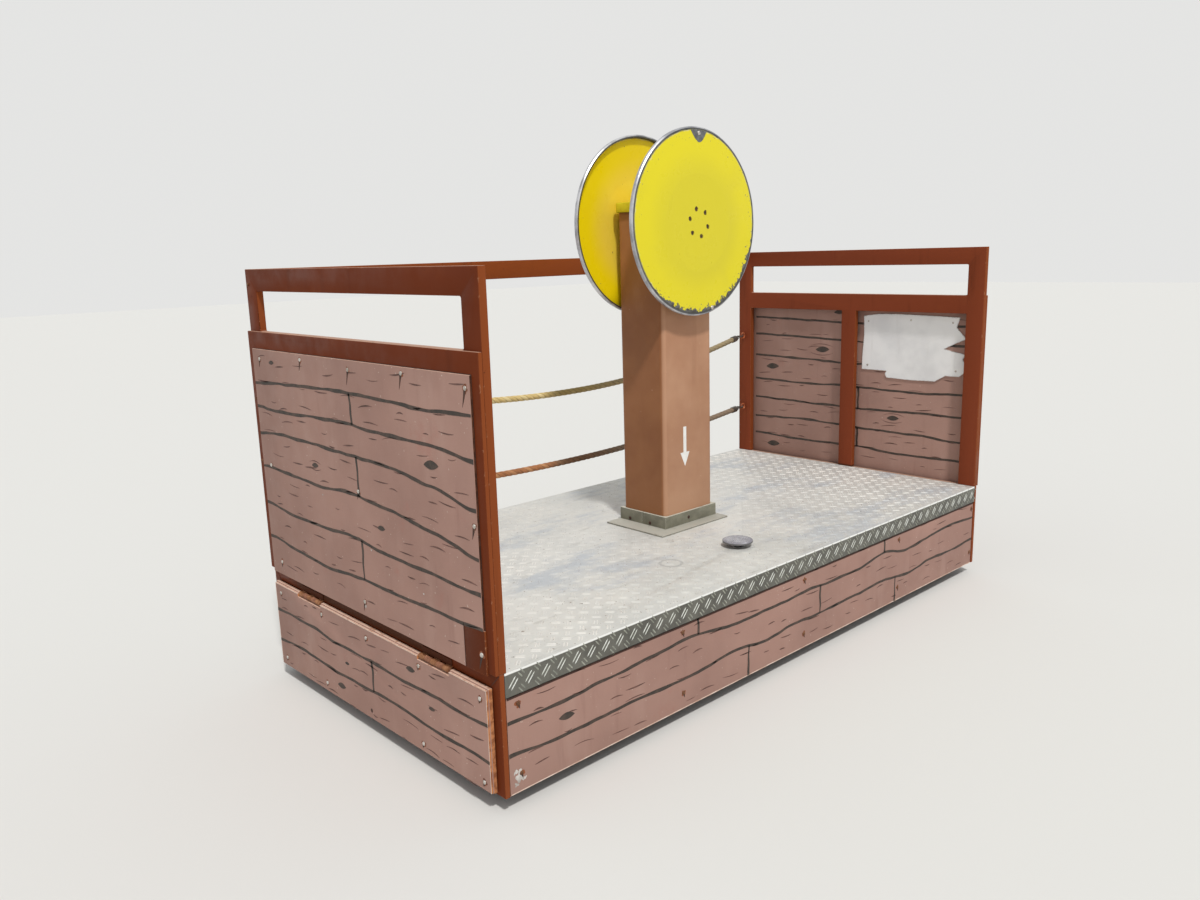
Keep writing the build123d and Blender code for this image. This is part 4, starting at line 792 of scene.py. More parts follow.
def paint_planks(name, face, planks, body):
    """The plank edges, joints, knots and grain marks of one board face."""
    edges = bmesh.new()
    lines = [
        plank_line(edges, face, planks.u0, planks.u1, heights, planks.seed + i)
        for i, heights in enumerate(planks.lines)
    ]
    level = {-1: planks.foot, -2: planks.top}
    upright = Face(face.origin, face.up, face.across, face.out)
    for u, low, high in planks.joints:
        v0, v1 = (level[i] if i < 0 else line_height(lines[i], u) for i in (low, high))
        plank_line(edges, upright, v0, v1, [u + sway for sway in JOINT_SWAY], planks.seed + u)
    for u, v, size, _ in planks.knots:
        lens(edges, face, (u, v), KNOT_LENGTH * size, KNOT_HALF_HEIGHT * size, -0.06, 0.001, KNOT_RISE)
    piece(f"{name}_lines", edges, "line", body)

    marks = bmesh.new()
    chance = random.Random(planks.seed)
    for u, v, size, ringed in planks.knots:
        for side in (-1, 1) if ringed else ():
            place = (u + chance.uniform(-0.006, 0.006), v + side * KNOT_HALF_HEIGHT * 1.05 * size)
            lens(marks, face, place, KNOT_LENGTH * 1.7 * size, 0.0013, 0.0, side * 0.008 * size)
    wide, tall = planks.u1 - planks.u0 - 2 * GRAIN_MARGIN_U, planks.top - planks.foot - 2 * GRAIN_MARGIN_V
    rows = max(round(math.sqrt(planks.marks * tall / wide * 2)), 1)
    columns = round(planks.marks / rows)
    for row in range(rows):
        for column in range(columns):
            u = planks.u0 + GRAIN_MARGIN_U + wide * (column + chance.uniform(0.1, 0.9)) / columns
            v = planks.foot + GRAIN_MARGIN_V + tall * (row + chance.uniform(0.1, 0.9)) / rows
            lens(marks, face, (u, v), *(chance.uniform(*limits) for limits in GRAIN))
    piece(f"{name}_marks", marks, "dash", body)


# Dark runs below screws, partly rust and partly painted shadows of the heads: half width at the top, lean and
# steps
STAIN_HALF_WIDTH = 0.0048
STAIN_LEAN = 0.30
STAIN_STEPS = 5
RING_RADIUS = 0.0092


def stains_and_shadows(name, face, screws, body, seed):
    """Rust round each screw, and a dark run that narrows below it, which is partly a rust run and partly a
    painted shadow of the head.
    """
    rings, runs = bmesh.new(), bmesh.new()
    for i, (u, v, run) in enumerate(screws):
        blot(rings, face, u, v - 0.001, RING_RADIUS, seed + i, 0.35, PAINT_SINK)
        if not run:
            continue
        line, widths = [], []
        for k in range(STAIN_STEPS + 1):
            share = k / STAIN_STEPS
            line.append((u + share * run * STAIN_LEAN, v - share * run))
            swell = 1 + 0.3 * drift(share * 3, seed, i)
            widths.append(max(STAIN_HALF_WIDTH * (1 - share) ** 0.7 * swell, 0.0003))
        stroke(runs, face, line, widths)
    piece(f"{name}_rings", rings, "bleed", body)
    piece(f"{name}_runs", runs, "stain", body)


# Rings of a domed screw head, as shares of its radius and height
HEAD_RINGS = ((1.0, 0.0), (1.0, 0.30), (0.86, 0.62), (0.55, 0.90))
HEAD_SIDES = 12
# Radius and height of each kind of head
BOARD_SCREW = (0.0062, 0.0034)
POST_BOLT = (0.0050, 0.0030)
PATCH_BOLT = (0.0068, 0.0036)
COLLAR_BOLT = (0.0062, 0.0030)
SIGN_SCREW = (0.0045, 0.0020)
DISC_BOLT = (0.0078, 0.0040)


def screw_heads(name, spots, kind, finish, body="root"):
    """Domed heads; spots are (face, u, v)."""
    radius, height = kind
    shape = bmesh.new()
    for face, u, v in spots:
        rings = [
            ring(shape, face, around(u, v, radius * share, HEAD_SIDES), height * rise - PAINT_SINK)
            for share, rise in HEAD_RINGS
        ]
        skin(shape, rings, capped=False)
        fan(shape, rings[-1], shape.verts.new(face.at(u, v, height)))
        shape.faces.new(rings[0][::-1])
    bmesh.ops.recalc_face_normals(shape, faces=shape.faces)
    piece(name, shape, finish, body, smooth=True)


# Screws of each board face: u, v, and the length of the dark run below it, partly rust stain and partly painted
# shadow
END_SCREWS = (
    (0.537, 1.081, 0.026), (0.260, 1.095, 0.034), (-0.022, 1.085, 0.042), (-0.293, 1.095, 0.042),
    (-0.568, 1.080, 0.046), (0.528, 0.741, 0.0), (-0.026, 0.745, 0.024), (-0.574, 0.750, 0.034),
    (0.518, 0.418, 0.018), (-0.012, 0.417, 0.030),
)
PATCH_SCREW = (-0.575, 0.424, 0.040)
FLAP_HOLE = (-0.003, 0.076)
FLAP_SCREWS = tuple(
    (u, v, 0.014) for u in (0.548, 0.268, -0.003, -0.280, -0.558) for v in (0.304, 0.076)
    if (u, v) != FLAP_HOLE
)
SIDE_SCREWS = tuple(
    (u, v, 0.016) for u in (-1.195, -0.583, 0.025, 0.635, 1.218) for v in (0.286, 0.096)
)

# The foot of a flap, a little higher at the entry side
FLAP_FOOT = 0.050
FLAP_FOOT_SLOPE = 0.007


def painted_board(node, finish, body, face, planks, screws, moved=None):
    """A board with painted planks, screws, rust stains and painted screw shadows on its outer face."""
    dress(node, finish, body, BOARD_EDGE, moved)
    paint_planks(f"{node}_out", face, planks, body)
    stains_and_shadows(f"{node}_out", face, screws, body, planks.seed)
    head = "old_screw" if finish == "side_board" else "screw"
    screw_heads(f"{node}_screws", [(face, u, v) for u, v, _ in screws], BOARD_SCREW, head, body)


def flap_foot(point):
    """Lifts the lowest points of a flap to its slightly sloping foot."""
    if point.z > FLAP_FOOT:
        return point
    return Vector((point.x, point.y, FLAP_FOOT - FLAP_FOOT_SLOPE * point.y))


SHEET_INSET = 0.004
HINGE_SPANS = ((-0.425, -0.275), (0.275, 0.425))


def flap_trim(flap, face):
    """The bare edge of the outer sheet along a flap's top and sides, and a dark spot as painted shade in the hole
    of a lost screw.
    """
    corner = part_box(flap)[1]
    top, half = corner.z - SHEET_INSET, corner.y - SHEET_INSET
    level, reach = top - 0.0012, half - 0.0010
    edges = bmesh.new()
    stops = [-reach, *HINGE_SPANS[0], *HINGE_SPANS[1], reach]
    for u0, u1 in zip(stops[::2], stops[1::2]):
        count = max(int((u1 - u0) / 0.02), 2)
        thin_line(edges, face, (u0, level), (u1, level), count, FLAP_TOP_LINE, (half, 3))
    for side in (-1, 1):
        u = side * reach
        thin_line(edges, face, (u, FLAP_FOOT + 0.004), (u, top), 14, FLAP_SIDE_LINE, (side, 7))
    piece(f"{flap}_bare_and_highlight_edge", edges, "worn_and_highlight_line", flap)
    # A dark spot as painted shade in the hole of a lost screw.
    hole = bmesh.new()
    blot(hole, face, *FLAP_HOLE, BOARD_SCREW[0], 5, 0.1)
    piece(f"{flap}_open_hole", hole, "stain", flap)


def make_boards():
    for end, out in ENDS:
        board, flap = f"end_board_{end}", f"flap_{end}"
        painted_board(board, "end_board", "root", end_face(board, out), END_OUTSIDE, END_SCREWS)
        paint_planks(f"{board}_in", end_face(board, -out), END_INSIDE, "root")
        face = end_face(flap, out)
        painted_board(flap, "board", flap, face, FLAP_OUTSIDE, FLAP_SCREWS, flap_foot)
        flap_trim(flap, face)
    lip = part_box("deck_plate")[0].z - 0.0042
    for side, out in SIDES:
        node = f"side_board_{side}"
        face = side_face(node, out)
        painted_board(node, "side_board", "root", face, SIDE_OUTSIDE, SIDE_SCREWS)
        low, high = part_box(node)
        count = int((high.x - low.x) / 0.04)
        start, end, foot = low.x + 0.002, high.x - 0.002, low.z + 0.0022
        # A painted highlight along the foot of each side board, and a painted shadow line under the deck lip.
        worn, shade = bmesh.new(), bmesh.new()
        thin_line(worn, face, (start, foot), (end, foot), count, BOARD_FOOT_LINE, (out, 2))
        piece(f"{node}_bare_and_highlight_edge", worn, "worn_and_highlight_line")
        thin_line(shade, face, (start, lip), (end, lip), count, LIP_SHADE_LINE, (out, 4))
        piece(f"{node}_shade", shade, "seam")


# Spots of lost paint: centre and radius on the entry side board and on the left end board
SIDE_CHIPS = ((-1.199, 0.088, 0.013), (-1.214, 0.104, 0.007), (-1.211, 0.070, 0.006), (-1.186, 0.079, 0.005))
END_CHIPS = ((-0.012, 0.405, 0.006), (-0.074, 0.584, 0.003), (0.190, 0.700, 0.003), (-0.330, 0.520, 0.003))
# Bolts on the left end: the node, and the place as Y and Z
POST_BOLTS = (
    ("end_frame_left", 0.606, 1.309), ("outer_frame_left", 0.606, 0.948), ("outer_frame_left", 0.606, 0.745),
)
# Painted shadow lines: their gap from the edge they follow, and the half width of those round the end boards
SHADOW_LINE_GAP = 0.0008
SHADOW_LINE_HALF = 0.0013
# How far in from a skirt corner each point of its welded seam lies, and the seam's half width there
MITRE = ((0.0, 0.0006), (0.018, 0.0009), (0.038, 0.0006))


def make_wear():
    """Flaked spots, small bolts, painted shadow lines round the end boards and the repair patch, and welded seam
    lines in the skirt corners.
    """
    end, patch = end_face("end_board_left", -1), end_face("repair_patch", -1)
    chips = bmesh.new()
    for face, spots in ((side_face("side_board_near", -1), SIDE_CHIPS), (end, END_CHIPS)):
        for i, (u, v, radius) in enumerate(spots):
            blot(chips, face, u, v, radius, i * 3.7, 0.6, 0.0003)
    piece("paint_chips", chips, "chip")
    heads = [(end_face(node, -1), y, z) for node, y, z in POST_BOLTS]
    screw_heads("post_bolts", heads, POST_BOLT, "old_screw")

    low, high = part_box("repair_patch")
    seam_and_shadow_lines = bmesh.new()
    # A painted shadow line beside the far edge of the repair patch.
    stroke(seam_and_shadow_lines, end, [(high.y + SHADOW_LINE_GAP, low.z), (high.y + SHADOW_LINE_GAP, high.z)], [0.0012] * 2)
    # Painted shadow lines round each end board, on the outer frame.
    for name, out in ENDS:
        board_low, board_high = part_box(f"end_board_{name}")
        face = end_face(f"outer_frame_{name}", out)
        near, far, above = board_low.y - SHADOW_LINE_GAP, board_high.y + SHADOW_LINE_GAP, board_high.z + SHADOW_LINE_GAP
        foot = high.z if out < 0 else board_low.z
        corners = [(near, foot), (near, above), (far, above), (far, board_low.z)]
        for k in range(3):
            stroke(seam_and_shadow_lines, face, corners[k:k + 2], [SHADOW_LINE_HALF] * 2)
    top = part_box("skirt_frame_left")[1].z - 0.002
    for out in (-1, 1):
        corner = out * (HALF_WIDTH - 0.001)
        line = [(corner - out * along, top - along) for along, _ in MITRE]
        stroke(seam_and_shadow_lines, end_face("skirt_frame_left", -1), line, [half for _, half in MITRE])
    piece("frame_seams", seam_and_shadow_lines, "seam")
    screw_heads("patch_bolt", [(patch, *PATCH_SCREW[:2])], PATCH_BOLT, "screw")
    stains_and_shadows("patch", patch, [PATCH_SCREW], "root", 71)


# The strip behind a flap's top edge, which closes the slit there so that it shows dark as painted shade: its
# front and back from the frame's face, how far it goes above and below the flap's top, and how far it stays in
# from the flap's ends
STOP_FACE = 0.002
STOP_BACK = 0.006
STOP_RISE = 0.004
STOP_DROP = 0.011
STOP_INSET = 0.008


def slit_shade_strip(end, out):
    """A narrow strip behind a flap's top edge, under the rail of the skirt frame, put there as painted shade in
    the slit.
    """
    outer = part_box(f"skirt_frame_{end}")[out > 0].x
    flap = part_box(f"flap_{end}")[1]
    width = STOP_BACK - STOP_FACE
    shape = bmesh.new()
    bmesh.ops.create_cube(shape, size=1.0)
    bmesh.ops.scale(shape, verts=shape.verts, vec=(width, 2 * (flap.y - STOP_INSET), STOP_RISE + STOP_DROP))
    place = (outer - out * (STOP_FACE + width / 2), 0, flap.z + (STOP_RISE - STOP_DROP) / 2)
    bmesh.ops.translate(shape, verts=shape.verts, vec=place)
    soften(piece(f"slit_shade_strip_{end}", shape, "frame", smooth=True), 0.0005)


def make_frames():
    for end, out in ENDS:
        slit_shade_strip(end, out)
        for kind in ("end", "outer", "skirt"):
            dress(f"{kind}_frame_{end}", "frame")
    dress("far_rail", "frame")
    dress("repair_patch", "patch", width=BOARD_EDGE)


TREAD_PITCH = 0.0525
BAR_LENGTH = 0.032
BAR_HALF_WIDTH = 0.0022
BAR_SPACING = 0.0085
BAR_RISE = 0.0014
DECK_BAR_RISE = 0.0010
# The bars' height in the middle of the deck, as a share, and how much it grows with each metre away
MIDDLE_SHARE = 0.35
SHARE_GROWTH = 0.8


def tread_bar(shape, face, u, v, angle, length=BAR_LENGTH, rise=BAR_RISE):
    """A low bar with pointed ends and sloping sides."""
    cosine, sine = math.cos(angle), math.sin(angle)
    half, shoulder, crest = length * 0.5, length * 0.3, length * 0.31
    corners = [
        shape.verts.new(face.at(u + a * cosine - b * sine, v + a * sine + b * cosine, height))
        for a, b, height in (
            (-half, 0, -PAINT_SINK), (-shoulder, -BAR_HALF_WIDTH, -PAINT_SINK),
            (shoulder, -BAR_HALF_WIDTH, -PAINT_SINK), (half, 0, -PAINT_SINK),
            (shoulder, BAR_HALF_WIDTH, -PAINT_SINK), (-shoulder, BAR_HALF_WIDTH, -PAINT_SINK),
            (-crest, 0, rise), (crest, 0, rise),
        )
    ]
    for side in ((0, 1, 6), (1, 2, 7, 6), (2, 3, 7), (3, 4, 7), (4, 5, 6, 7), (5, 0, 6), (5, 4, 3, 2, 1, 0)):
        shape.faces.new([corners[k] for k in side])


def side_by_side(u, v, angle, spacing):
    """The middles of two bars side by side."""
    offset_u, offset_v = -math.sin(angle) * spacing / 2, math.cos(angle) * spacing / 2
    return (u - offset_u, v - offset_v), (u + offset_u, v + offset_v)


LIP_LEAN = -math.radians(49)
LIP_BAR = 0.038
LIP_CUT = 0.024
LIP_SPACING = 0.0105
PEDAL_CLEAR = 0.030


def deck_bars(shape):
    """Pairs of bars on a grid over the deck, with pairs that lean the other way in the gaps."""
    low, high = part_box("deck_plate")
    base_low, base_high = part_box("column_base")
    pad, post = middle("pedal_pad"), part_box("end_frame_right")[0].x
    face = Face(UP * DECK_TOP, AHEAD, ACROSS, UP)
    margin, reach = BAR_LENGTH * 0.36, BAR_LENGTH / 2

    def is_open(u, v):
        on_deck = low.x + margin < u < high.x - margin and low.y + margin < v < high.y - margin
        on_base = base_low.x - reach < u < base_high.x + reach and base_low.y - reach < v < base_high.y + reach
        on_pedal = math.hypot(u - pad.x, v - pad.y) < PEDAL_CLEAR
        return on_deck and not on_base and not on_pedal and abs(u) < post - reach * 0.75

    for row in range(-1, int((high.y - low.y) / TREAD_PITCH) + 2):
        for column in range(-1, int((high.x - low.x) / TREAD_PITCH) + 2):
            for half, angle in ((0, math.radians(45)), (0.5, math.radians(-45))):
                u = low.x + (column + half) * TREAD_PITCH + margin
                v = low.y + (row + half + 0.5) * TREAD_PITCH
                for bar_u, bar_v in side_by_side(u, v, angle, BAR_SPACING):
                    if is_open(bar_u, bar_v):
                        worn = min(MIDDLE_SHARE + abs(bar_u) * SHARE_GROWTH, 1.0)
                        tread_bar(shape, face, bar_u, bar_v, angle, rise=DECK_BAR_RISE * worn)


def make_deck():
    """Tread plate with its bars, on top and down both side lips."""
    dress("deck_plate", "plate", width=DECK_EDGE)
    bars = bmesh.new()
    deck_bars(bars)
    piece("deck_tread", bars, "tread")
    low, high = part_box("deck_plate")
    level = (low.z + DECK_TOP) / 2
    for tag, out in SIDES:
        face = side_face("deck_plate", out)
        whole, cut = bmesh.new(), bmesh.new()
        for column in range(int((high.x - low.x) / TREAD_PITCH)):
            u = low.x + (column + 0.5) * TREAD_PITCH
            for bar in side_by_side(u, level, out * LIP_LEAN, LIP_SPACING):
                tread_bar(whole, face, *bar, out * LIP_LEAN, LIP_BAR)
            for side in (-1, 1):
                v = level + side * (TREAD_PITCH / 2 - LIP_CUT / 4)
                for bar in side_by_side(u + TREAD_PITCH / 2, v, -out * LIP_LEAN, LIP_SPACING):
                    tread_bar(cut, face, *bar, -out * LIP_LEAN, LIP_CUT)
        piece(f"lip_tread_{tag}", whole, "lip_tread")
        piece(f"lip_ends_{tag}", cut, "lip_dim")


ROPE_RADIUS = 0.0125
ROPE_LAY = 0.085
ROPE_SIDES = 24
ROPE_STEP = 0.006
ROPE_GROOVE = 0.17
ROPE_Y = 0.584

# Rope routes: X and Z of the same points that the part's ropes follow
ROPE_ROUTES = {
    "upper": (
        (-1.150, 0.944), (-0.870, 0.886), (-0.575, 0.846), (-0.285, 0.821), (0.010, 0.812),
        (0.300, 0.818), (0.590, 0.843), (0.880, 0.887), (1.150, 0.945),
    ),
    "lower": (
        (-1.150, 0.597), (-0.865, 0.563), (-0.570, 0.538), (-0.280, 0.525), (0.015, 0.5205),
        (0.305, 0.525), (0.595, 0.539), (0.885, 0.5635), (1.150, 0.596),
    ),
}


def rope_line(name, route):
    """Points along the smooth line through a route's control points."""
    curve = bpy.data.curves.new(name, "CURVE")
    curve.dimensions = "3D"
    spline = curve.splines.new("NURBS")
    spline.points.add(len(route) - 1)
    for point, (x, z) in zip(spline.points, route):
        point.co = (x, ROPE_Y, z, 1)
    put(spline, order_u=3, use_endpoint_u=True, resolution_u=24)
    holder = bpy.data.objects.new(name, curve)
    line = bpy.data.meshes.new_from_object(holder)
    points = [v.co.copy() for v in line.vertices]
    bpy.data.objects.remove(holder)
    bpy.data.curves.remove(curve)
    return points


def even_points(points, step):
    """The same line with points a step apart."""
    lengths = [0.0]
    for a, b in zip(points, points[1:]):
        lengths.append(lengths[-1] + (b - a).length)
    count = round(lengths[-1] / step)
    spaced, i = [], 0
    for k in range(count + 1):
        along = lengths[-1] * k / count
        while i < len(points) - 2 and lengths[i + 1] < along:
            i += 1
        share = (along - lengths[i]) / (lengths[i + 1] - lengths[i])
        spaced.append(points[i].lerp(points[i + 1], share))
    return spaced


def make_rope(name, finish):
    """Three twisted strands along the rope's line."""
    line = even_points(rope_line(f"rope_{name}_line", ROPE_ROUTES[name]), ROPE_STEP)
    shape = bmesh.new()
    lay = shape.loops.layers.uv.new("lay")
    groove = shape.verts.layers.float.new("groove")
    marked = shape.verts.layers.float.new("marked")
    rings = []
    for i, point in enumerate(line):
        along = (line[min(i + 1, len(line) - 1)] - line[max(i - 1, 0)]).normalized()
        up = along.cross(ACROSS).normalized()
        twist = 2 * math.pi * i * ROPE_STEP / ROPE_LAY
        rings.append([])
        for k, (cosine, sine) in enumerate(circle(ROPE_SIDES)):
            turn = 2 * math.pi * k / ROPE_SIDES - twist
            lobe = abs(math.cos(1.5 * turn))
            radius = ROPE_RADIUS * (1 - ROPE_GROOVE + ROPE_GROOVE * lobe**0.7)
            vert = shape.verts.new(point + (ACROSS * cosine + up * sine) * radius)
            vert[groove] = max(0.0, 1 - lobe * 3)
            vert[marked] = float(round(turn / (2 * math.pi / 3)) % 3 == 0)
            rings[-1].append(vert)
    for number, quad in enumerate(skin(shape, rings)):
        i, k = divmod(number, ROPE_SIDES)
        corners = ((k, 0), (k + 1, 0), (k + 1, 1), (k, 1))
        for loop, (side, ahead) in zip(quad.loops, corners):
            along = (i + ahead) * ROPE_STEP
            loop[lay].uv = (side / ROPE_SIDES - along / ROPE_LAY, along)
    bmesh.ops.recalc_face_normals(shape, faces=shape.faces)
    made = piece(f"rope_{name}_strands", shape, finish, smooth=True)
    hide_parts(f"rope_{name}")


ARROW_X = 0.028
ARROW_TOP = 0.747
ARROW_NECK = 0.652
ARROW_TIP = 0.600
ARROW_SHAFT_HALF = 0.0080
ARROW_HEAD_HALF = 0.0245


def make_column():
    dress("column", "column", width=THIN_EDGE)
    dress("column_cap", "cap", width=CAP_EDGE)
    dress("column_base", "base", width=PLATE_EDGE)
    dress("column_collar", "collar", width=PLATE_EDGE)
    end, side = end_face("column_collar", -1), side_face("column_collar", -1)
    bolts = [(end, 0.088, 0.394), (end, -0.015, 0.394), (side, 0.035, 0.405)]
    screw_heads("collar_bolts", bolts, COLLAR_BOLT, "stain")
    line = [(ARROW_X, v) for v in (ARROW_TOP, ARROW_NECK, ARROW_NECK - 0.0002, ARROW_TIP)]
    widths = [ARROW_SHAFT_HALF, ARROW_SHAFT_HALF, ARROW_HEAD_HALF, SHARP_TIP]
    arrow = bmesh.new()
    stroke(arrow, side_face("column", -1), line, widths)
    piece("column_arrow", arrow, "arrow")


SIGN_THICKNESS = 0.004
# Outline of the blank board on the right end, as Y and Z
SIGN_OUTLINE = (
    (-0.061, 1.068), (-0.130, 1.078), (-0.221, 1.080), (-0.380, 1.077), (-0.510, 1.073), (-0.503, 1.052),
    (-0.497, 1.031), (-0.520, 1.006), (-0.541, 0.985), (-0.490, 0.962), (-0.445, 0.939), (-0.492, 0.930),
    (-0.541, 0.921), (-0.528, 0.900), (-0.540, 0.880), (-0.539, 0.845), (-0.515, 0.826), (-0.455, 0.826),
    (-0.409, 0.799), (-0.300, 0.796), (-0.182, 0.799), (-0.172, 0.815), (-0.180, 0.829), (-0.056, 0.829),
    (-0.058, 0.900), (-0.064, 0.985),
)
SIGN_SCREWS = ((-0.085, 1.045), (-0.290, 1.055), (-0.480, 1.050), (-0.085, 0.850), (-0.500, 0.850))


def make_sign():
    """A blank white board with a ragged edge, screwed to the inside of the right end."""
    face = end_face("end_board_right", -1)
    shape = bmesh.new()
    skin(shape, [ring(shape, face, SIGN_OUTLINE, height) for height in (0.0003, SIGN_THICKNESS)])
    bmesh.ops.recalc_face_normals(shape, faces=shape.faces)
    soften(piece("blank_sign", shape, "sign", smooth=True), THIN_EDGE)
    front = face.lifted(SIGN_THICKNESS)
    screw_heads("blank_sign_screws", [(front, u, v) for u, v in SIGN_SCREWS], SIGN_SCREW, "screw")


PEDAL_STUD = 0.0036
PEDAL_STUD_PITCH = 0.0100
PEDAL_STUD_RISE = 0.0009
PEDAL_CROWN = 0.0010
PEDAL_SHOULDER = 0.006
SQUARE = ((-1, -1), (1, -1), (1, 1), (-1, 1))


def make_pedal():
    """Round pad with a chequered top."""
    dress("pedal_pad", "pedal", width=PLATE_EDGE)
    low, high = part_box("pedal_pad")
    centre, radius = middle("pedal_pad"), (high.x - low.x) / 2
    top = Face(Vector((centre.x, centre.y, high.z)), AHEAD, ACROSS, UP)
    shape = bmesh.new()
    reach = int(radius / PEDAL_STUD_PITCH)
    for i in range(-reach, reach + 1):
        for k in range(-reach, reach + 1):
            x, y = i * PEDAL_STUD_PITCH, k * PEDAL_STUD_PITCH
            away = math.hypot(x, y)
            if away > radius - PEDAL_SHOULDER - PEDAL_STUD:
                continue
            crown = -PEDAL_CROWN * away / (radius - PEDAL_SHOULDER)
            skin(shape, [
                ring(shape, top, [(x + a * half, y + b * half) for a, b in SQUARE], crown + rise)
                for rise, half in ((-0.0006, PEDAL_STUD), (PEDAL_STUD_RISE, PEDAL_STUD * 0.76))
            ])
    piece("pedal_studs", shape, "pedal")


DISC_BOLTS = ((0.062, 1.767), (0.129, 1.1725))
# The bare tongue at a disc's top: the X of its middle, half its width, and the Z of its foot
DISC_PATCH = (0.062, 0.041, 1.737)
# The disc's outer face: the radius of its flat middle, and its slope from there to the rim
DISC_FLAT = 0.165
DISC_SLOPE = 0.0616


def disc_fall(x, z):
    """How far a disc's outer face has sloped back at a point."""
    return max(math.hypot(x - DISC_AXIS.x, z - DISC_AXIS.z) - DISC_FLAT, 0.0) * DISC_SLOPE


HOLE_CIRCLE = 0.048
HOLE_RADIUS = 0.0065
HOLE_START = 45.0
HOLE_SINK = 0.0012
HOLE_RUST = 0.0024
HOLE_SIDES = 16


def make_hole_plugs():
    """Dark discs inside the six holes of each disc as painted shade, and rusty rims round the holes."""
    plugs, rims = bmesh.new(), bmesh.new()
    for side, out in SIDES:
        face = side_face(f"disc_{side}", out)
        for k in range(6):
            angle = math.radians(HOLE_START + 60 * k)
            u = DISC_AXIS.x + HOLE_CIRCLE * math.cos(angle)
            v = DISC_AXIS.z + HOLE_CIRCLE * math.sin(angle)
            # A dark disc inside the hole: painted shade.
            blot(plugs, face, u, v, HOLE_RADIUS + 0.0002, k, 0.0, -HOLE_SINK, HOLE_SIDES)
            rust = []
            for cosine, sine in circle(HOLE_SIDES):
                reach = HOLE_RADIUS + HOLE_RUST * (0.6 + drift(cosine * 1.5, sine * 1.5, k * 2.3))
                rust.append((u + reach * cosine, v + reach * sine))
            rings = [ring(rims, face, line, 0.0003) for line in (rust, around(u, v, HOLE_RADIUS, HOLE_SIDES))]
            skin(rims, rings, capped=False)
    piece("disc_hole_shade", plugs, "stain", "hand_discs")
    piece("disc_hole_rims", rims, "stain", "hand_discs")


def make_disc_patch():
    """The bare tongue at the near disc's top, and two bolts."""
    face = side_face("disc_near", -1)
    centre, half, foot = DISC_PATCH
    rim = DISC_RADIUS * 0.968
    shape = bmesh.new()
    columns = []
    for k in range(13):
        share = (k - 6) / 6
        x = centre + half * share
        arc = DISC_AXIS.z + math.sqrt(rim * rim - (x - DISC_AXIS.x) ** 2)
        low = min(foot + (arc - foot) * abs(share) ** 1.9, arc - 0.0008) + 0.002 * drift(share * 4, 2.0, 1.0)
        heights = [low + (arc - low) * step / 4 for step in range(5)]
        columns.append([shape.verts.new(face.at(x, z, 0.0005 - disc_fall(x, z))) for z in heights])
    for first, second in zip(columns, columns[1:]):
        for step in range(4):
            shape.faces.new((first[step], second[step], second[step + 1], first[step + 1]))
    piece("disc_bare_tongue", shape, "bare_patch", "hand_discs")
    spots = [(face.lifted(0.0004 - disc_fall(x, z)), x, z) for x, z in DISC_BOLTS]
    screw_heads("disc_bolts", spots, DISC_BOLT, "screw", "hand_discs")


# CAD nodes whose own shape shows, by finish
COATS = {
    "disc_near": ("disc_near",),
    "disc_far": ("disc_far",),
    "rim": ("disc_rims",),
    "zinc": ("disc_hubs",),
    "rust": ("flap_hinges_left", "flap_hinges_right"),
    "hinge": ("fixed_hinges",),
    "under": (
        "side_rails", "cross_members", "main_beams", "shaft_bearings",
        "brake_lever", "brake_beam", "brake_brackets", "axle_boxes", "brake_shoes",
    ),
    "shaft": ("hand_shaft", "counter_shaft", "axle_drive", "axle_braked", "brake_rod", "brake_spring"),
    "chain": ("hand_sprocket", "counter_sprockets", "axle_sprocket", "column_chain", "axle_chain"),
    "fitting": ("rope_fittings",),
    "eye": ("rope_eyes",),
    "wheel_drive": ("wheels_drive",),
    "wheel_braked": ("wheels_braked",),
}


def coat_nodes():
    """Gives each shown CAD node its finish."""
    for finish, nodes in COATS.items():
        for node in nodes:
            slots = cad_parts[node].material_slots
            for slot in slots:
                slot.material = FINISHES[finish]
            if not slots:
                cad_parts[node].data.materials.append(FINISHES[finish])


FLOOR_SIZE = 60.0
FLOOR_TONE = (230, 229, 226)
BACKGROUND = (0.78, 0.78, 0.77, 1.0)
LIGHT_TONE = (0.96, 0.99, 1.0, 1.0)
WORLD_STRENGTH = 0.50


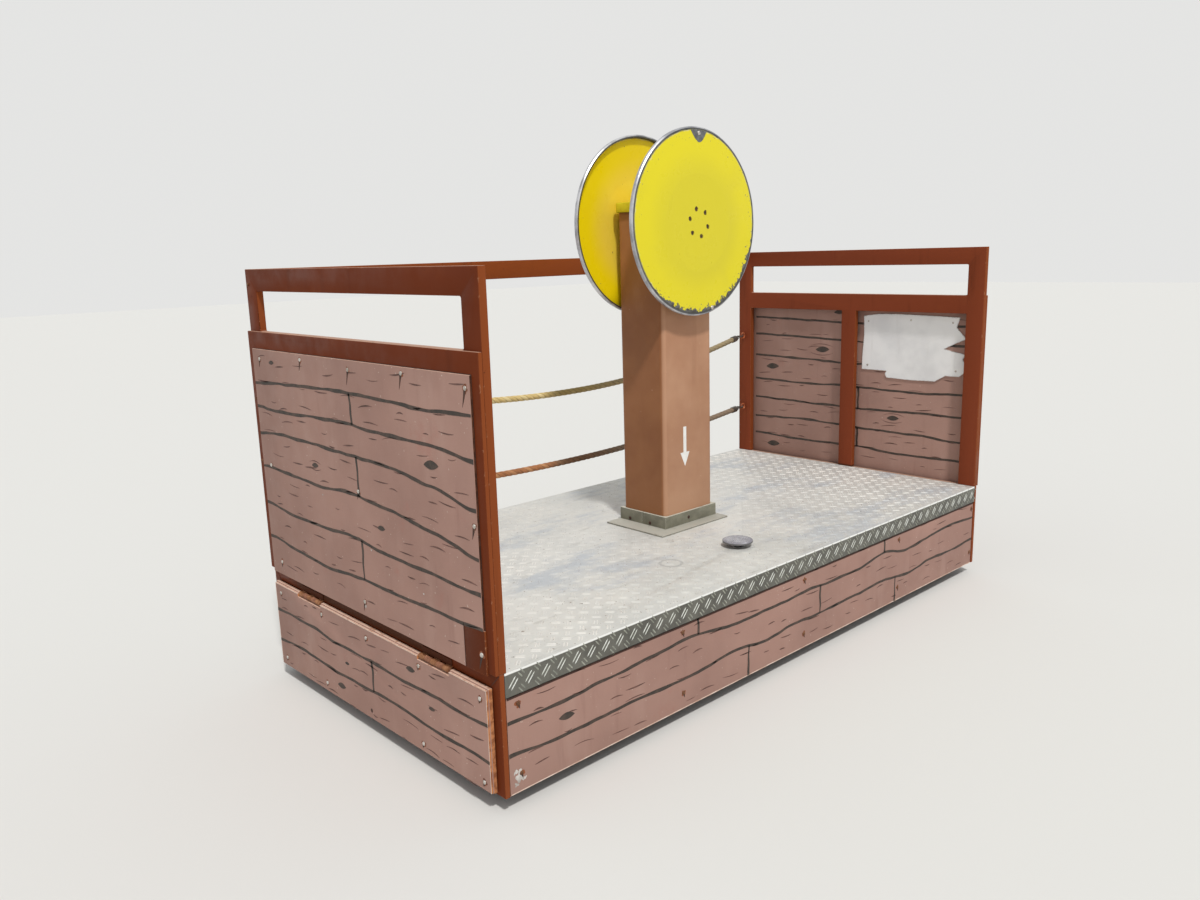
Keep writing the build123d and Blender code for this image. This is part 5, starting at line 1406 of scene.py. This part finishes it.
def make_stage():
    """Pale floor and plain light all round."""
    shape = bmesh.new()
    bmesh.ops.create_grid(shape, x_segments=1, y_segments=1, size=FLOOR_SIZE / 2)
    ground = Finish("floor", 0.9)
    ground.feed(ground.shader, "Base Color", FLOOR_TONE)
    add_mesh("floor", shape, ground.material)

    world = bpy.data.worlds.new("studio")
    bpy.context.scene.world = world
    n = Nodes(world)
    shown, lighting = n.tree.nodes["Background"], n.add("ShaderNodeBackground", {"Strength": WORLD_STRENGTH})
    n.feed(shown, "Color", BACKGROUND)
    n.feed(lighting, "Color", LIGHT_TONE)
    path = n.add("ShaderNodeLightPath").outputs
    seen = n.maths("MAXIMUM", path["Is Camera Ray"], path["Is Glossy Ray"], path["Is Transmission Ray"])
    chosen = n.add("ShaderNodeMixShader", {0: seen, 1: lighting.outputs[0], 2: shown.outputs[0]})
    n.feed(n.tree.nodes["World Output"], "Surface", chosen.outputs[0])


SUN_FROM = Vector((-0.23, -0.49, 0.84))
SUN_STRENGTH = 2.0
SUN_TONE = (1.0, 0.98, 0.95)
SUN_SOFTNESS = math.radians(5)


def make_lamp():
    """A soft key, high on the entry side and a little towards the left end."""
    data = put(bpy.data.lights.new("key", "SUN"), energy=SUN_STRENGTH, angle=SUN_SOFTNESS, color=SUN_TONE)
    lamp = add_object("key", data)
    put(lamp, rotation_mode="QUATERNION", rotation_quaternion=SUN_FROM.to_track_quat("Z", "Y"))


def make_camera():
    data = put(bpy.data.cameras.new("camera"), lens=CAMERA_LENS, sensor_width=CAMERA_SENSOR)
    turn = Matrix.Rotation(math.radians(CAMERA_HEADING - 90), 4, "Z")
    tilt = Matrix.Rotation(math.radians(90 + CAMERA_TILT), 4, "X")
    roll = Matrix.Rotation(math.radians(CAMERA_ROLL), 4, "Z")
    place = Matrix.Translation(CAMERA_PLACE) @ turn @ tilt @ roll
    bpy.context.scene.camera = put(add_object("camera", data), matrix_world=place)


make_camera()
make_rope("upper", "rope_pale")
make_rope("lower", "rope_brown")
make_frames()
make_boards()
make_wear()
make_deck()
make_column()
make_sign()
make_pedal()
make_disc_patch()
make_hole_plugs()
coat_nodes()
make_stage()
make_lamp()
bpy.context.scene.view_settings.view_transform = "Standard"
